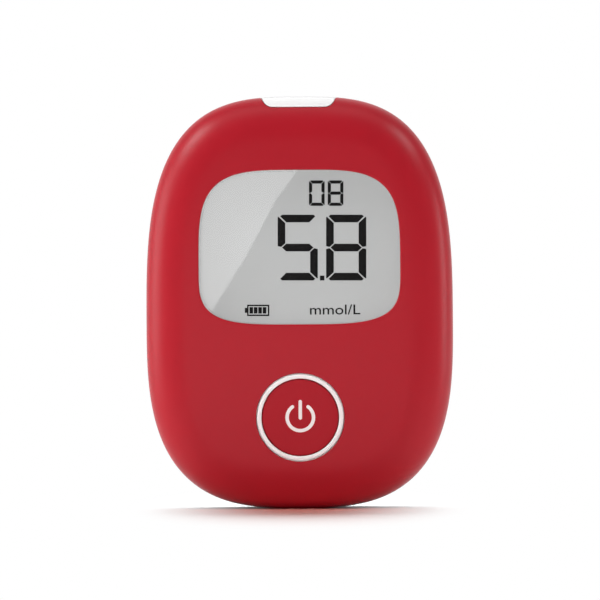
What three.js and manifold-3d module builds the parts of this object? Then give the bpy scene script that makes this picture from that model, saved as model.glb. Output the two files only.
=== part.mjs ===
import * as THREE from "three";
import { mergeVertices } from "three/addons/utils/BufferGeometryUtils.js";
import Module from "manifold-3d";

const wasm = await Module();
wasm.setup();

// A blood glucose meter, standing on its lower edge with its display facing -Y.
// Every piece is drawn with the meter lying on its back: x across, y up the face,
// z from the back to the front. The last group stands the meter up.

// Face of the meter, seen from the front
const WINDOW_WIDTH = 42;
const WINDOW_RISE = 20.4;
const WINDOW_DROP = 11.8;
const WINDOW_SQUARENESS_SHARE = 3.9;
const FRAME_BESIDE_WINDOW = 11.1;
const FRAME_ABOVE_WINDOW = 15.4;
const WINDOW_TO_RING = 10.35;
const RING_RADIUS = 9.05;
const RING_TO_FOOT = 10.15;
const WIDEST_ROW = 38.6;
const UPPER_SQUARENESS_SHARE = 3.07;
const LOWER_SQUARENESS_SHARE = 2.93;

// Gaps between pieces
const FIT_GAP = 0.25;
const SEAT_GAP = 0.2;
const OVERRUN = 1;

// Stack of pieces from the back to the front
const DOOR_RECESS = 0.2;
const DOOR_WALL = 1.5;
const DOOR_RIB = 0.3;
const CELL_DIAMETER = 10.5;
const WELL_CEILING = 0.8;
const BOARD_THICKNESS = 1.1;
const ZEBRA_HEIGHT = 1.8;
const LCD_THICKNESS = 1.2;
const GASKET_THICKNESS = 0.7;
const FLANGE_THICKNESS = 0.8;
const LENS_PLATEAU = 0.85;
const LENS_BELOW_CROWN = 0.85;

// Shells
const COVER_WALL = 1.8;
const PARTING_BELOW_STRIP = 2.8;
const PARTING_GAP = 0.25;
const REAR_ROLL_WIDTH = 6;
const REAR_ROLL_HEIGHT = 4.5;
const FRONT_BAND = 3.85;
const FRONT_ROLL_WIDTH = 9.5;
const FRONT_CROWN = 0.7;
const ROLL_SQUARENESS_SHARE = 2.2;
const CROWN_RING_SHARE = 0.6;
const TONGUE_WALL = 1;
const TONGUE_RISE = 1.2;
const TONGUE_ROOT = 1.8;

// Display window and the display behind it
const WINDOW_EDGE_ROUND = 0.3;
const WINDOW_EDGE_STEPS_COUNT = 3;
const LENS_FLANGE_REACH = 1.2;
const GASKET_INNER_REACH = 0.2;
const GASKET_OUTER_REACH = 1;
const LCD_MARGIN = 1;
const HOLDER_WALL = 1.1;
const HOLDER_CORNER = 3;
const HOLDER_FLOOR = 0.6;
const HOLDER_FLOOR_RISE = 0.4;
const ZEBRA_WIDTH = 2;
const ZEBRA_END_MARGIN = 2;
const ZEBRA_INSET = 1.4;
const REFLECTOR_THICKNESS = 0.3;
const REFLECTOR_SIDE_MARGIN = 2;
const REFLECTOR_END_MARGIN = 3.1;

// Push button
const RING_WIDTH = 1;
const RING_FLANGE_REACH = 1.15;
const RING_FLANGE = 0.7;
const RING_PROUD = 0.04;
const BUTTON_TRAVEL = 0.5;
const CAP_DEPTH = 2;
const CAP_FLANGE = 0.8;
const CAP_FLANGE_REACH = 1.2;
const CAP_STEM_RADIUS = 1.6;
const SWITCH_SIDE = 6;
const SWITCH_HEIGHT = 2;
const PLUNGER_RADIUS = 1.7;
const PLUNGER_PROUD = 0.7;
const PLUNGER_DEPTH = 0.5;

// Strip port in the notch at the top
const NOTCH_HALF_FLOOR = 5.4;
const NOTCH_DEPTH = 2.3;
const NOTCH_CORNER = 0.5;
const NOTCH_ARC_SHARE = 0.8;
const NOTCH_GAP = 0.25;
const PORT_BELOW_OUTLINE = 0.35;
const STRIP_BELOW_BOARD = 1.7;
const STRIP_CHANNEL_WIDTH = 7.6;
const STRIP_CHANNEL_HEIGHT = 1;
const MOUTH_FLARE = 0.8;
const MOUTH_LENGTH = 2.4;
const SLEEVE_HALF_WIDTH = 5;
const SLEEVE_WALL = 1.2;
const SLEEVE_LENGTH = 4.4;
const CONNECTOR_WIDTH = 13.2;
const CONNECTOR_LENGTH = 11.4;
const CONNECTOR_HEIGHT = 3.3;
const CONTACT_WIDTH = 0.7;
const CONTACT_THICKNESS = 0.2;
const CONTACT_INNER_PLACE = 1.9;
const CONTACT_OUTER_PLACE = 3.1;
const CONTACT_POCKET_WALL = 1.2;
const CONTACT_BEND_SHARE = 0.33;
const CONTACT_TOUCH_SHARE = 0.75;

// Circuit board and what is on it
const BOARD_INSET = 3.2;
const BOARD_LOW_ROW = 6.5;
const BOARD_TO_SLEEVE = 0.9;
const BOARD_HOLE_CLEARANCE = 0.4;
const MAIN_CHIP_SIDE = 10;
const ANALOG_CHIP_SIDE = 6;
const MEMORY_CHIP_SIDE = 4.4;
const CHIP_HEIGHT = 1.3;
const MAIN_CHIP_ROW = 44;
const ANALOG_CHIP_ROW = 58;
const CRYSTAL_RADIUS = 1;
const CRYSTAL_LENGTH = 6;
const CRYSTAL_ROW = 54;
const BUZZER_RADIUS = 4.5;
const BUZZER_HEIGHT = 2;
const BUZZER_HOLE_RADIUS = 1;
const BUZZER_COLUMN_SHARE = 0.547;
const BUZZER_ROW = 30;

// Battery bay
const CELL_LENGTH = 44.5;
const CELL_NUB_LENGTH = 1;
const CELL_NUB_RADIUS = 1.9;
const CELL_EDGE_ROUND = 0.5;
const CELL_SIDE_GAP = 0.6;
const WELL_WALL = 1.2;
const WELL_SIDE_ROOM = 0.5;
const WELL_LOW_ROW = 12.2;
const CONTACT_PLATE = 0.4;
const CONTACT_PLATE_WIDTH = 8;
const CONTACT_PLATE_HEIGHT = 8.4;
const SPRING_ROOM = 3.2;
const SPRING_WIRE = 0.5;
const SPRING_WIDE_RADIUS = 3.6;
const SPRING_NARROW_RADIUS = 2;
const SPRING_TURNS_COUNT = 2.5;

// Battery cover
const DOOR_SIDE_REACH = 2.1;
const DOOR_LOW_REACH = 2.6;
const DOOR_TOP_REACH = 2.2;
const DOOR_CORNER = 3;
const LEDGE_REACH = 1.6;
const LEDGE_THICKNESS = 1.05;
const TAB_WIDTH = 3;
const TAB_COLUMN = 8.5;
const TAB_REACH = 2;
const TAB_THICKNESS = 0.8;
const TAB_ROOT = 1.6;
const TAB_SWING_ROOM = 3.4;
const DOOR_RIB_WIDTH = 1.2;
const DOOR_RIB_PLACES_SHARES = [0.22, 0.5, 0.78];
const TONGUE_SLIT_WIDTH = 0.6;
const TONGUE_SLIT_LENGTH = 6;
const TONGUE_HALF_WIDTH = 5;
const SNAP_BUMP = 0.12;
const SNAP_BUMP_EDGE = 0.5;
const GRIP_BARS_COUNT = 3;
const GRIP_BAR_LENGTH = 7;
const GRIP_BAR_WIDTH = 0.8;
const GRIP_BAR_PITCH = 1.8;
const GRIP_POOL_DEPTH = 0.6;

// Screws, and the posts and bosses that they join
const POST_PLACES_SHARES = [[-0.545, 0.879], [0.545, 0.879], [-0.623, 0.151], [0.623, 0.151]];
const POST_RADIUS = 2.4;
const PILOT_RADIUS = 1.15;
const PILOT_ROOM = 1.3;
const BOSS_RADIUS = 3;
const SCREW_SEAT_DEPTH = 3.2;
const SCREW_HEAD_RADIUS = 1.9;
const SCREW_HEAD_HEIGHT = 1.3;
const SCREW_SHANK_RADIUS = 0.95;
const SCREW_LENGTH = 11.5;
const SCREW_POINT = 0.9;
const SCREW_HEAD_EDGE = 0.35;
const DRIVE_RADIUS = 1.05;
const DRIVE_DEPTH = 0.7;
const DRIVE_SLOT_SHARE = 0.3;
const SCREW_CLEARANCE = 0.25;
const BOARD_POST_MARGIN = 4.9;
const BOARD_POST_ROW = 24;
const BOARD_POST_RADIUS = 2.2;
const BOARD_SCREW_LENGTH = 4.2;
const BOARD_HEAD_RADIUS = 1.6;
const BOARD_HEAD_HEIGHT = 1;
const BOARD_SHANK_RADIUS = 0.7;

// Strip ejector on the back
const EJECT_TRAVEL = 4;
const THUMB_WIDTH = 9;
const THUMB_LENGTH = 8;
const THUMB_BELOW_CONNECTOR = 0.9;
const DOOR_TO_THUMB = 3.3;
const THUMB_RECESS = 1.2;
const THUMB_FLOOR = 1.2;
const THUMB_PAD = 0.6;
const THUMB_RIDGE = 0.25;
const THUMB_RIDGE_WIDTH = 0.66;
const THUMB_RIDGES_COUNT = 5;
const THUMB_CORNER = 1.2;
const THUMB_ROOM = 0.4;
const STEM_WIDTH = 3.2;
const STEM_LENGTH = 2.2;
const STEM_FOOT = 0.9;
const SLIDER_FLANGE = 0.8;
const SLIDER_FLANGE_REACH = 1.8;
const ARM_WIDTH = 2;
const ARM_THICKNESS = 1.2;
const ARM_GAP = 0.4;
const EJECTOR_SPRING_RADIUS = 1.5;
const EJECTOR_SPRING_WIRE = 0.4;
const EJECTOR_SPRING_TURNS_COUNT = 4;
const EJECTOR_SPRING_LENGTH = 6.4;
const EJECTOR_GUIDE_RADIUS = 0.8;
const EJECTOR_GUIDE_LENGTH = 2;
const SPRING_STOP_THICKNESS = 1.2;
const SPRING_STOP_HALF_WIDTH = 2.6;

// Facets
const BODY_SIDES_COUNT = 64;
const CAVITY_SIDES_COUNT = 40;
const WINDOW_SIDES_COUNT = 48;
const ROLL_STEPS_COUNT = 6;
const CAVITY_ROLL_STEPS_COUNT = 4;
const ROUND_SIDES_COUNT = 28;
const SMALL_SIDES_COUNT = 12;
const CORNER_STEPS_COUNT = 4;
const COIL_STEPS_COUNT = 8;
const WIRE_SIDES_COUNT = 5;

// Heights above the back that the stack gives
const doorInnerDepth = DOOR_RECESS + DOOR_WALL;
const cellLowDepth = doorInnerDepth + DOOR_RIB + SEAT_GAP;
const cellAxisDepth = cellLowDepth + CELL_DIAMETER / 2;
const wellCeilingDepth = cellLowDepth + CELL_DIAMETER + SEAT_GAP;
const boardBackDepth = wellCeilingDepth + WELL_CEILING + SEAT_GAP;
const boardFrontDepth = boardBackDepth + BOARD_THICKNESS;
const zebraDepth = boardFrontDepth + SEAT_GAP;
const lcdBackDepth = zebraDepth + ZEBRA_HEIGHT + SEAT_GAP;
const lcdFrontDepth = lcdBackDepth + LCD_THICKNESS;
const gasketDepth = lcdFrontDepth + SEAT_GAP;
const flangeBackDepth = gasketDepth + GASKET_THICKNESS + SEAT_GAP;
const flangeFrontDepth = flangeBackDepth + FLANGE_THICKNESS;
const seatDepth = flangeFrontDepth + SEAT_GAP;
const lensFrontDepth = flangeFrontDepth + LENS_PLATEAU;
const bodyThickness = lensFrontDepth + LENS_BELOW_CROWN;
const capLowDepth = flangeFrontDepth - RING_FLANGE - SEAT_GAP - CAP_FLANGE;
const switchFrontDepth = boardFrontDepth + SEAT_GAP + SWITCH_HEIGHT;
const stripDepth = boardBackDepth - STRIP_BELOW_BOARD;
const partingDepth = stripDepth - PARTING_BELOW_STRIP;
const frontRimDepth = partingDepth + PARTING_GAP;
const frontBandTop = frontRimDepth + FRONT_BAND;
const frontRollHeight = bodyThickness - frontBandTop - FRONT_CROWN;

// Rows and columns that the battery bay gives
const cellColumn = (CELL_DIAMETER + CELL_SIDE_GAP) / 2;
const wellHalfWidth = cellColumn + CELL_DIAMETER / 2 + WELL_SIDE_ROOM;
const platesRoom = 2 * (CONTACT_PLATE + SEAT_GAP);
const wellTopRow = WELL_LOW_ROW + platesRoom + CELL_LENGTH + 2 * SEAT_GAP + SPRING_ROOM;
const doorHalfWidth = wellHalfWidth + DOOR_SIDE_REACH;
const doorLowRow = WELL_LOW_ROW - DOOR_LOW_REACH;
const doorTopRow = wellTopRow + DOOR_TOP_REACH;

// The body is as tall as the taller of what its face and its back have to hold.
const windowHeight = WINDOW_RISE + WINDOW_DROP;
const faceHeight = RING_TO_FOOT + 2 * RING_RADIUS + WINDOW_TO_RING + windowHeight + FRAME_ABOVE_WINDOW;
const portRoom = CONNECTOR_LENGTH + SEAT_GAP + SLEEVE_LENGTH + NOTCH_DEPTH;
const bodyHeight = Math.max(faceHeight, doorTopRow + DOOR_TO_THUMB + THUMB_BELOW_CONNECTOR + portRoom);
const bodyWidth = WINDOW_WIDTH + 2 * FRAME_BESIDE_WINDOW;
const windowRow = bodyHeight - FRAME_ABOVE_WINDOW - WINDOW_RISE;
const buttonRow = RING_TO_FOOT + RING_RADIUS;

// Display and board, from the window and the body
const lcdWidth = WINDOW_WIDTH + 2 * LCD_MARGIN;
const lcdHeight = windowHeight + 2 * LCD_MARGIN;
const zebraHalfLength = lcdWidth / 2 - ZEBRA_END_MARGIN;
const lcdRow = windowRow + (WINDOW_RISE - WINDOW_DROP) / 2;
const boardHalfWidth = bodyWidth / 2 - BOARD_INSET;
const boardPostColumn = boardHalfWidth - BOARD_POST_MARGIN;
const chipColumn = (wellHalfWidth + WELL_WALL + boardHalfWidth) / 2;

// Rows that the strip port and the ejector give
const notchFloorRow = bodyHeight - NOTCH_DEPTH;
const sleeveLowRow = notchFloorRow - SLEEVE_LENGTH;
const connectorTopRow = sleeveLowRow - SEAT_GAP;
const connectorLowRow = connectorTopRow - CONNECTOR_LENGTH;
const connectorBackDepth = boardBackDepth - SEAT_GAP - CONNECTOR_HEIGHT;
const thumbFloorTop = THUMB_RECESS + THUMB_FLOOR;
const sliderFlangeDepth = thumbFloorTop + FIT_GAP;
const thumbLowRow = connectorLowRow - THUMB_BELOW_CONNECTOR;
const thumbTopRow = thumbLowRow + THUMB_LENGTH;
const stemRow = thumbLowRow + STEM_FOOT;
const springAxisDepth = sliderFlangeDepth + EJECTOR_SPRING_RADIUS + EJECTOR_SPRING_WIRE;
const springLowRow = thumbTopRow + SEAT_GAP;
const springTopRow = springLowRow + EJECTOR_SPRING_LENGTH;

const FULL_TURN = 2 * Math.PI;
const QUARTER_TURN = Math.PI / 2;

const bodyOutline = {
  halfWidth: bodyWidth / 2,
  row: WIDEST_ROW,
  rise: bodyHeight - WIDEST_ROW,
  drop: WIDEST_ROW,
  upperShare: UPPER_SQUARENESS_SHARE,
  lowerShare: LOWER_SQUARENESS_SHARE,
};

const windowOutline = {
  halfWidth: WINDOW_WIDTH / 2,
  row: windowRow,
  rise: WINDOW_RISE,
  drop: WINDOW_DROP,
  upperShare: WINDOW_SQUARENESS_SHARE,
  lowerShare: WINDOW_SQUARENESS_SHARE,
};

// Finishes
const redPlastic = new THREE.MeshStandardMaterial({ color: 0xb02936, roughness: 0.48, metalness: 0 });
const deepRedPlastic = new THREE.MeshStandardMaterial({ color: 0xaa2032, roughness: 0.4, metalness: 0 });
const whitePlastic = new THREE.MeshStandardMaterial({ color: 0xf1f1ef, roughness: 0.42, metalness: 0 });
const clearPlastic = new THREE.MeshStandardMaterial({
  color: 0xe4eaea,
  roughness: 0.05,
  metalness: 0,
  transparent: true,
  opacity: 0.3,
});
const displayGlass = new THREE.MeshStandardMaterial({ color: 0xbcbcbc, roughness: 0.3, metalness: 0 });
const silverFoil = new THREE.MeshStandardMaterial({ color: 0xc9ccce, roughness: 0.35, metalness: 0.8 });
const blackFoam = new THREE.MeshStandardMaterial({ color: 0x222426, roughness: 0.95, metalness: 0 });
const greyRubber = new THREE.MeshStandardMaterial({ color: 0x8d8f92, roughness: 0.8, metalness: 0 });
const boardGreen = new THREE.MeshStandardMaterial({ color: 0x1d6b45, roughness: 0.5, metalness: 0 });
const blackPlastic = new THREE.MeshStandardMaterial({ color: 0x1c1d1f, roughness: 0.5, metalness: 0 });
const steel = new THREE.MeshStandardMaterial({ color: 0xb7babd, roughness: 0.3, metalness: 1 });
const goldPlate = new THREE.MeshStandardMaterial({ color: 0xcaa45a, roughness: 0.3, metalness: 1 });
const cellJacket = new THREE.MeshStandardMaterial({ color: 0x3f6f8f, roughness: 0.35, metalness: 0.3 });

// Solids and meshes

function solidOf(geometry) {
  const bare = geometry.clone();
  bare.deleteAttribute("normal");
  bare.deleteAttribute("uv");
  const merged = mergeVertices(bare);
  const corners = merged.index.array;
  const kept = [];
  for (let at = 0; at < corners.length; at += 3) {
    const [a, b, c] = [corners[at], corners[at + 1], corners[at + 2]];
    if (a !== b && b !== c && c !== a) kept.push(a, b, c);
  }
  return new wasm.Manifold(
    new wasm.Mesh({
      numProp: 3,
      vertProperties: Float32Array.from(merged.attributes.position.array),
      triVerts: Uint32Array.from(kept),
    }),
  );
}

function geometryOf(solid) {
  const mesh = solid.getMesh();
  const geometry = new THREE.BufferGeometry();
  geometry.setAttribute("position", new THREE.BufferAttribute(Float32Array.from(mesh.vertProperties), 3));
  geometry.setIndex(new THREE.BufferAttribute(Uint32Array.from(mesh.triVerts), 1));
  geometry.computeVertexNormals();
  return geometry;
}

function piece(name, shape, material) {
  const geometry = shape.isBufferGeometry ? shape : geometryOf(shape);
  const mesh = new THREE.Mesh(geometry, material);
  mesh.name = name;
  return mesh;
}

function joined(solids) {
  return solids.reduce((whole, next) => whole.add(next));
}

// A block between two corners
function block([lowX, highX], [lowY, highY], [lowZ, highZ]) {
  const geometry = new THREE.BoxGeometry(highX - lowX, highY - lowY, highZ - lowZ);
  return solidOf(geometry.translate((lowX + highX) / 2, (lowY + highY) / 2, (lowZ + highZ) / 2));
}

function rod(radius, [lowZ, highZ], x, y, sidesCount = SMALL_SIDES_COUNT) {
  const geometry = new THREE.CylinderGeometry(radius, radius, highZ - lowZ, sidesCount);
  return solidOf(geometry.rotateX(QUARTER_TURN).translate(x, y, (lowZ + highZ) / 2));
}

function prism(shape, [lowZ, highZ], stepsCount = CORNER_STEPS_COUNT) {
  const settings = { depth: highZ - lowZ, bevelEnabled: false, curveSegments: stepsCount };
  return solidOf(new THREE.ExtrudeGeometry(shape, settings).translate(0, 0, lowZ));
}

function roundedRectangle([lowX, highX], [lowY, highY], radius) {
  const shape = new THREE.Shape();
  shape.moveTo(lowX + radius, lowY);
  shape.absarc(highX - radius, lowY + radius, radius, -QUARTER_TURN, 0);
  shape.absarc(highX - radius, highY - radius, radius, 0, QUARTER_TURN);
  shape.absarc(lowX + radius, highY - radius, radius, QUARTER_TURN, Math.PI);
  shape.absarc(lowX + radius, lowY + radius, radius, Math.PI, Math.PI + QUARTER_TURN);
  return shape;
}

// A block that widens evenly from its low row to its high row
function flare(lowRow, highRow, depth, lowHalf, highHalf) {
  const corners = [];
  for (const [row, half] of [[lowRow, lowHalf], [highRow, highHalf]]) {
    for (const [x, z] of [[-1, -1], [1, -1], [1, 1], [-1, 1]]) {
      corners.push(x * half.x, row, depth + z * half.z);
    }
  }
  const sides = [0, 1, 5, 0, 5, 4, 1, 2, 6, 1, 6, 5, 2, 3, 7, 2, 7, 6, 3, 0, 4, 3, 4, 7];
  const ends = [0, 3, 2, 0, 2, 1, 4, 5, 6, 4, 6, 7];
  const geometry = new THREE.BufferGeometry();
  geometry.setAttribute("position", new THREE.Float32BufferAttribute(corners, 3));
  geometry.setIndex([...sides, ...ends].reverse());
  return solidOf(geometry);
}

// A barrel is an outline of two half superellipses that meet at its widest row.
function barrelPoint(barrel, turn, inset) {
  const across = Math.cos(turn);
  const along = Math.sin(turn);
  const reach = along < 0 ? barrel.drop : barrel.rise;
  const powerShare = along < 0 ? barrel.lowerShare : barrel.upperShare;
  const x = Math.sign(across) * Math.abs(across) ** (2 / powerShare);
  const y = Math.sign(along) * Math.abs(along) ** (2 / powerShare);
  const normal = new THREE.Vector2(
    (Math.sign(x) * Math.abs(x) ** (powerShare - 1)) / barrel.halfWidth,
    (Math.sign(y) * Math.abs(y) ** (powerShare - 1)) / reach,
  ).normalize();
  return new THREE.Vector2(
    barrel.halfWidth * x - inset * normal.x,
    barrel.row + reach * y - inset * normal.y,
  );
}

// 0 at the centre of a barrel and 1 on its outline
function barrelShare(barrel, x, y) {
  const rise = y - barrel.row;
  const reach = rise < 0 ? barrel.drop : barrel.rise;
  const powerShare = rise < 0 ? barrel.lowerShare : barrel.upperShare;
  const [acrossShare, alongShare] = [Math.abs(x / barrel.halfWidth), Math.abs(rise / reach)];
  return (acrossShare ** powerShare + alongShare ** powerShare) ** (1 / powerShare);
}

// A closed body through level outlines of one barrel, from the lowest to the highest.
// A level has its inset, its height z, its shrink and the crown that it adds towards the middle.
function loft(barrel, levels, sidesCount, crowned = barrel) {
  const points = [];
  const heightAt = (level, x, y) => level.z + (level.crown ?? 0) * (1 - barrelShare(crowned, x, y) ** 2);
  for (const level of levels) {
    for (let side = 0; side < sidesCount; side += 1) {
      const edge = barrelPoint(barrel, (side / sidesCount) * FULL_TURN, level.inset);
      const x = edge.x * (level.shrink ?? 1);
      const y = barrel.row + (edge.y - barrel.row) * (level.shrink ?? 1);
      points.push(x, y, heightAt(level, x, y));
    }
  }
  const faces = [];
  for (let ring = 0; ring + 1 < levels.length; ring += 1) {
    for (let side = 0; side < sidesCount; side += 1) {
      const next = (side + 1) % sidesCount;
      const [a, b] = [ring * sidesCount + side, ring * sidesCount + next];
      faces.push(a, b, b + sidesCount, a, b + sidesCount, a + sidesCount);
    }
  }
  const first = levels.length * sidesCount;
  const topRing = first - sidesCount;
  points.push(0, barrel.row, heightAt(levels[0], 0, barrel.row));
  points.push(0, barrel.row, heightAt(levels.at(-1), 0, barrel.row));
  for (let side = 0; side < sidesCount; side += 1) {
    const next = (side + 1) % sidesCount;
    faces.push(first, next, side);
    faces.push(first + 1, topRing + side, topRing + next);
  }
  const geometry = new THREE.BufferGeometry();
  geometry.setAttribute("position", new THREE.Float32BufferAttribute(points, 3));
  geometry.setIndex(faces);
  return solidOf(geometry);
}

// The share of its width and of its height that a rounded edge has reached at each step
function rollShares(stepsCount) {
  return Array.from({ length: stepsCount + 1 }, (_, step) => {
    const turn = (step / stepsCount) * QUARTER_TURN;
    return {
      inwardShare: 1 - Math.abs(Math.cos(turn)) ** (2 / ROLL_SQUARENESS_SHARE),
      upwardShare: Math.sin(turn) ** (2 / ROLL_SQUARENESS_SHARE),
    };
  });
}

// The front surface as a closed body, moved inwards by an inset
function frontForm(inset, lowDepth, stepsCount = ROLL_STEPS_COUNT, sidesCount = BODY_SIDES_COUNT) {
  const levels = [{ inset, z: lowDepth }];
  for (const { inwardShare, upwardShare } of rollShares(stepsCount)) {
    levels.push({
      inset: inset + (FRONT_ROLL_WIDTH - inset) * inwardShare,
      z: frontBandTop + (frontRollHeight - inset) * upwardShare,
      crown: FRONT_CROWN * upwardShare,
    });
  }
  levels.push({ ...levels.at(-1), shrink: CROWN_RING_SHARE });
  return loft(bodyOutline, levels, sidesCount);
}

// The back surface as a closed body, moved inwards by an inset
function rearForm(inset, highDepth, stepsCount = ROLL_STEPS_COUNT - 1, sidesCount = BODY_SIDES_COUNT) {
  const levels = rollShares(stepsCount).reverse().map(({ inwardShare, upwardShare }) => ({
    inset: inset + (REAR_ROLL_WIDTH - inset) * inwardShare,
    z: REAR_ROLL_HEIGHT - (REAR_ROLL_HEIGHT - inset) * upwardShare,
  }));
  levels.push({ inset, z: highDepth });
  return loft(bodyOutline, levels, sidesCount);
}

// A straight prism over a barrel, wider than it by a reach
function barrelPrism(barrel, reach, [lowZ, highZ], sidesCount = WINDOW_SIDES_COUNT) {
  return loft(barrel, [{ inset: -reach, z: lowZ }, { inset: -reach, z: highZ }], sidesCount);
}

// A solid of revolution about a line along y, from profile points given as radius and row
function turned(profile, sidesCount) {
  const points = profile.map(([radius, row]) => new THREE.Vector2(radius, row));
  return new THREE.LatheGeometry(points, sidesCount);
}

// A helix along y whose radius may narrow
class Coil extends THREE.Curve {
  constructor(turnsCount, lowRadius, highRadius, length) {
    super();
    Object.assign(this, { turnsCount, lowRadius, highRadius, length });
  }

  getPoint(share, target = new THREE.Vector3()) {
    const turn = share * this.turnsCount * FULL_TURN;
    const radius = THREE.MathUtils.lerp(this.lowRadius, this.highRadius, share);
    return target.set(radius * Math.cos(turn), this.length * share, radius * Math.sin(turn));
  }
}

// The smallest gap between one turn of a coil's wire and the next
function leastGap(coil, wire) {
  const stepsCount = Math.round(coil.turnsCount * ROUND_SIDES_COUNT);
  const points = coil.getPoints(stepsCount);
  let least = Infinity;
  for (let low = 0; low < points.length; low += 1) {
    for (let high = low + ROUND_SIDES_COUNT / 2; high < points.length; high += 1) {
      least = Math.min(least, points[low].distanceTo(points[high]) - wire);
    }
  }
  return least;
}

function coilSpring(name, coil, wire) {
  const section = new THREE.Shape();
  for (let side = 0; side < WIRE_SIDES_COUNT; side += 1) {
    const turn = (side / WIRE_SIDES_COUNT) * FULL_TURN;
    const [x, y] = [(Math.cos(turn) * wire) / 2, (Math.sin(turn) * wire) / 2];
    if (side === 0) section.moveTo(x, y);
    else section.lineTo(x, y);
  }
  const steps = Math.round(coil.turnsCount * COIL_STEPS_COUNT);
  const geometry = new THREE.ExtrudeGeometry(section, { steps, extrudePath: coil, bevelEnabled: false });
  console.log(`${name}: least gap between turns ${leastGap(coil, wire).toFixed(2)} mm`);
  return piece(name, geometry, steel);
}

// Places of the four housing screws, from the sizes of the body
const postPlaces = POST_PLACES_SHARES.map(([xShare, yShare]) => ({
  x: (xShare * bodyWidth) / 2,
  y: yShare * bodyHeight,
}));
const boardPostPlaces = [-1, 1].map((side) => ({ x: side * boardPostColumn, y: BOARD_POST_ROW }));

// The notch in the top edge, filled by the strip port with a gap all round
function notchShape(gap) {
  const floor = notchFloorRow + gap;
  const centre = notchFloorRow + NOTCH_DEPTH;
  const radius = NOTCH_DEPTH - gap;
  const open = centre + NOTCH_DEPTH;
  const half = NOTCH_HALF_FLOOR;
  const arcStop = QUARTER_TURN * (1 - NOTCH_ARC_SHARE);
  const shape = new THREE.Shape();
  shape.moveTo(-half, floor);
  shape.lineTo(half, floor);
  shape.absarc(half, centre, radius, -QUARTER_TURN, -arcStop);
  shape.quadraticCurveTo(half + radius, centre - NOTCH_CORNER, half + radius + NOTCH_CORNER, centre);
  shape.lineTo(half + radius + NOTCH_CORNER, open);
  shape.lineTo(-half - radius - NOTCH_CORNER, open);
  shape.lineTo(-half - radius - NOTCH_CORNER, centre);
  const arcEnd = new THREE.Vector2(radius, 0).rotateAround(new THREE.Vector2(), Math.PI + arcStop);
  shape.quadraticCurveTo(-half - radius, centre - NOTCH_CORNER, arcEnd.x - half, centre + arcEnd.y);
  shape.absarc(-half, centre, radius, Math.PI + arcStop, Math.PI + QUARTER_TURN);
  return shape;
}

// The window opening, whose outer edge is rounded along the crowned face
function windowMouth() {
  const levels = [{ inset: 0, z: seatDepth - OVERRUN }];
  for (let step = 0; step <= WINDOW_EDGE_STEPS_COUNT; step += 1) {
    const turn = (step / WINDOW_EDGE_STEPS_COUNT) * QUARTER_TURN;
    levels.push({
      inset: -WINDOW_EDGE_ROUND * (1 - Math.cos(turn)),
      z: bodyThickness - FRONT_CROWN - WINDOW_EDGE_ROUND * (1 - Math.sin(turn)),
      crown: FRONT_CROWN,
    });
  }
  levels.push({ inset: -WINDOW_EDGE_ROUND, z: bodyThickness + OVERRUN });
  return loft(windowOutline, levels, WINDOW_SIDES_COUNT, bodyOutline);
}

// Front cover: domed red shell with the window, the button hole, the notch and the posts
function frontCover() {
  const outer = frontForm(0, frontRimDepth);
  const inner = frontForm(COVER_WALL, frontRimDepth - OVERRUN, CAVITY_ROLL_STEPS_COUNT, CAVITY_SIDES_COUNT);
  const posts = postPlaces.map(({ x, y }) => rod(POST_RADIUS, [frontRimDepth, bodyThickness], x, y));
  const boardPosts = boardPostPlaces.map(({ x, y }) => (
    rod(BOARD_POST_RADIUS, [boardFrontDepth + SEAT_GAP, bodyThickness], x, y)));
  const ringHole = RING_RADIUS + SEAT_GAP;
  const ringSeat = RING_RADIUS + RING_FLANGE_REACH + FIT_GAP;
  let cover = outer.subtract(inner).add(joined([...posts, ...boardPosts]).intersect(outer));
  cover = cover
    .subtract(prism(holderShape(FIT_GAP), [boardBackDepth, lcdFrontDepth + FIT_GAP]))
    .subtract(barrelPrism(windowOutline, LENS_FLANGE_REACH + FIT_GAP, [lcdFrontDepth, seatDepth]))
    .subtract(windowMouth())
    .subtract(rod(ringSeat, [zebraDepth, seatDepth], 0, buttonRow, ROUND_SIDES_COUNT))
    .subtract(rod(ringHole, [seatDepth - OVERRUN, bodyThickness + OVERRUN], 0, buttonRow, ROUND_SIDES_COUNT))
    .subtract(prism(notchShape(0), [frontRimDepth - OVERRUN, bodyThickness]))
    .subtract(portSleeve(FIT_GAP));
  const pilotSpan = [frontRimDepth - OVERRUN, SCREW_SEAT_DEPTH + SCREW_LENGTH + PILOT_ROOM];
  const boardPilotSpan = [boardFrontDepth, boardFrontDepth + BOARD_SCREW_LENGTH];
  const pilots = [
    ...postPlaces.map(({ x, y }) => rod(PILOT_RADIUS, pilotSpan, x, y)),
    ...boardPostPlaces.map(({ x, y }) => rod(BOARD_SHANK_RADIUS + SEAT_GAP, boardPilotSpan, x, y)),
  ];
  cover = cover.subtract(joined(pilots));
  return piece("front_cover", cover, redPlastic);
}

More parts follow.
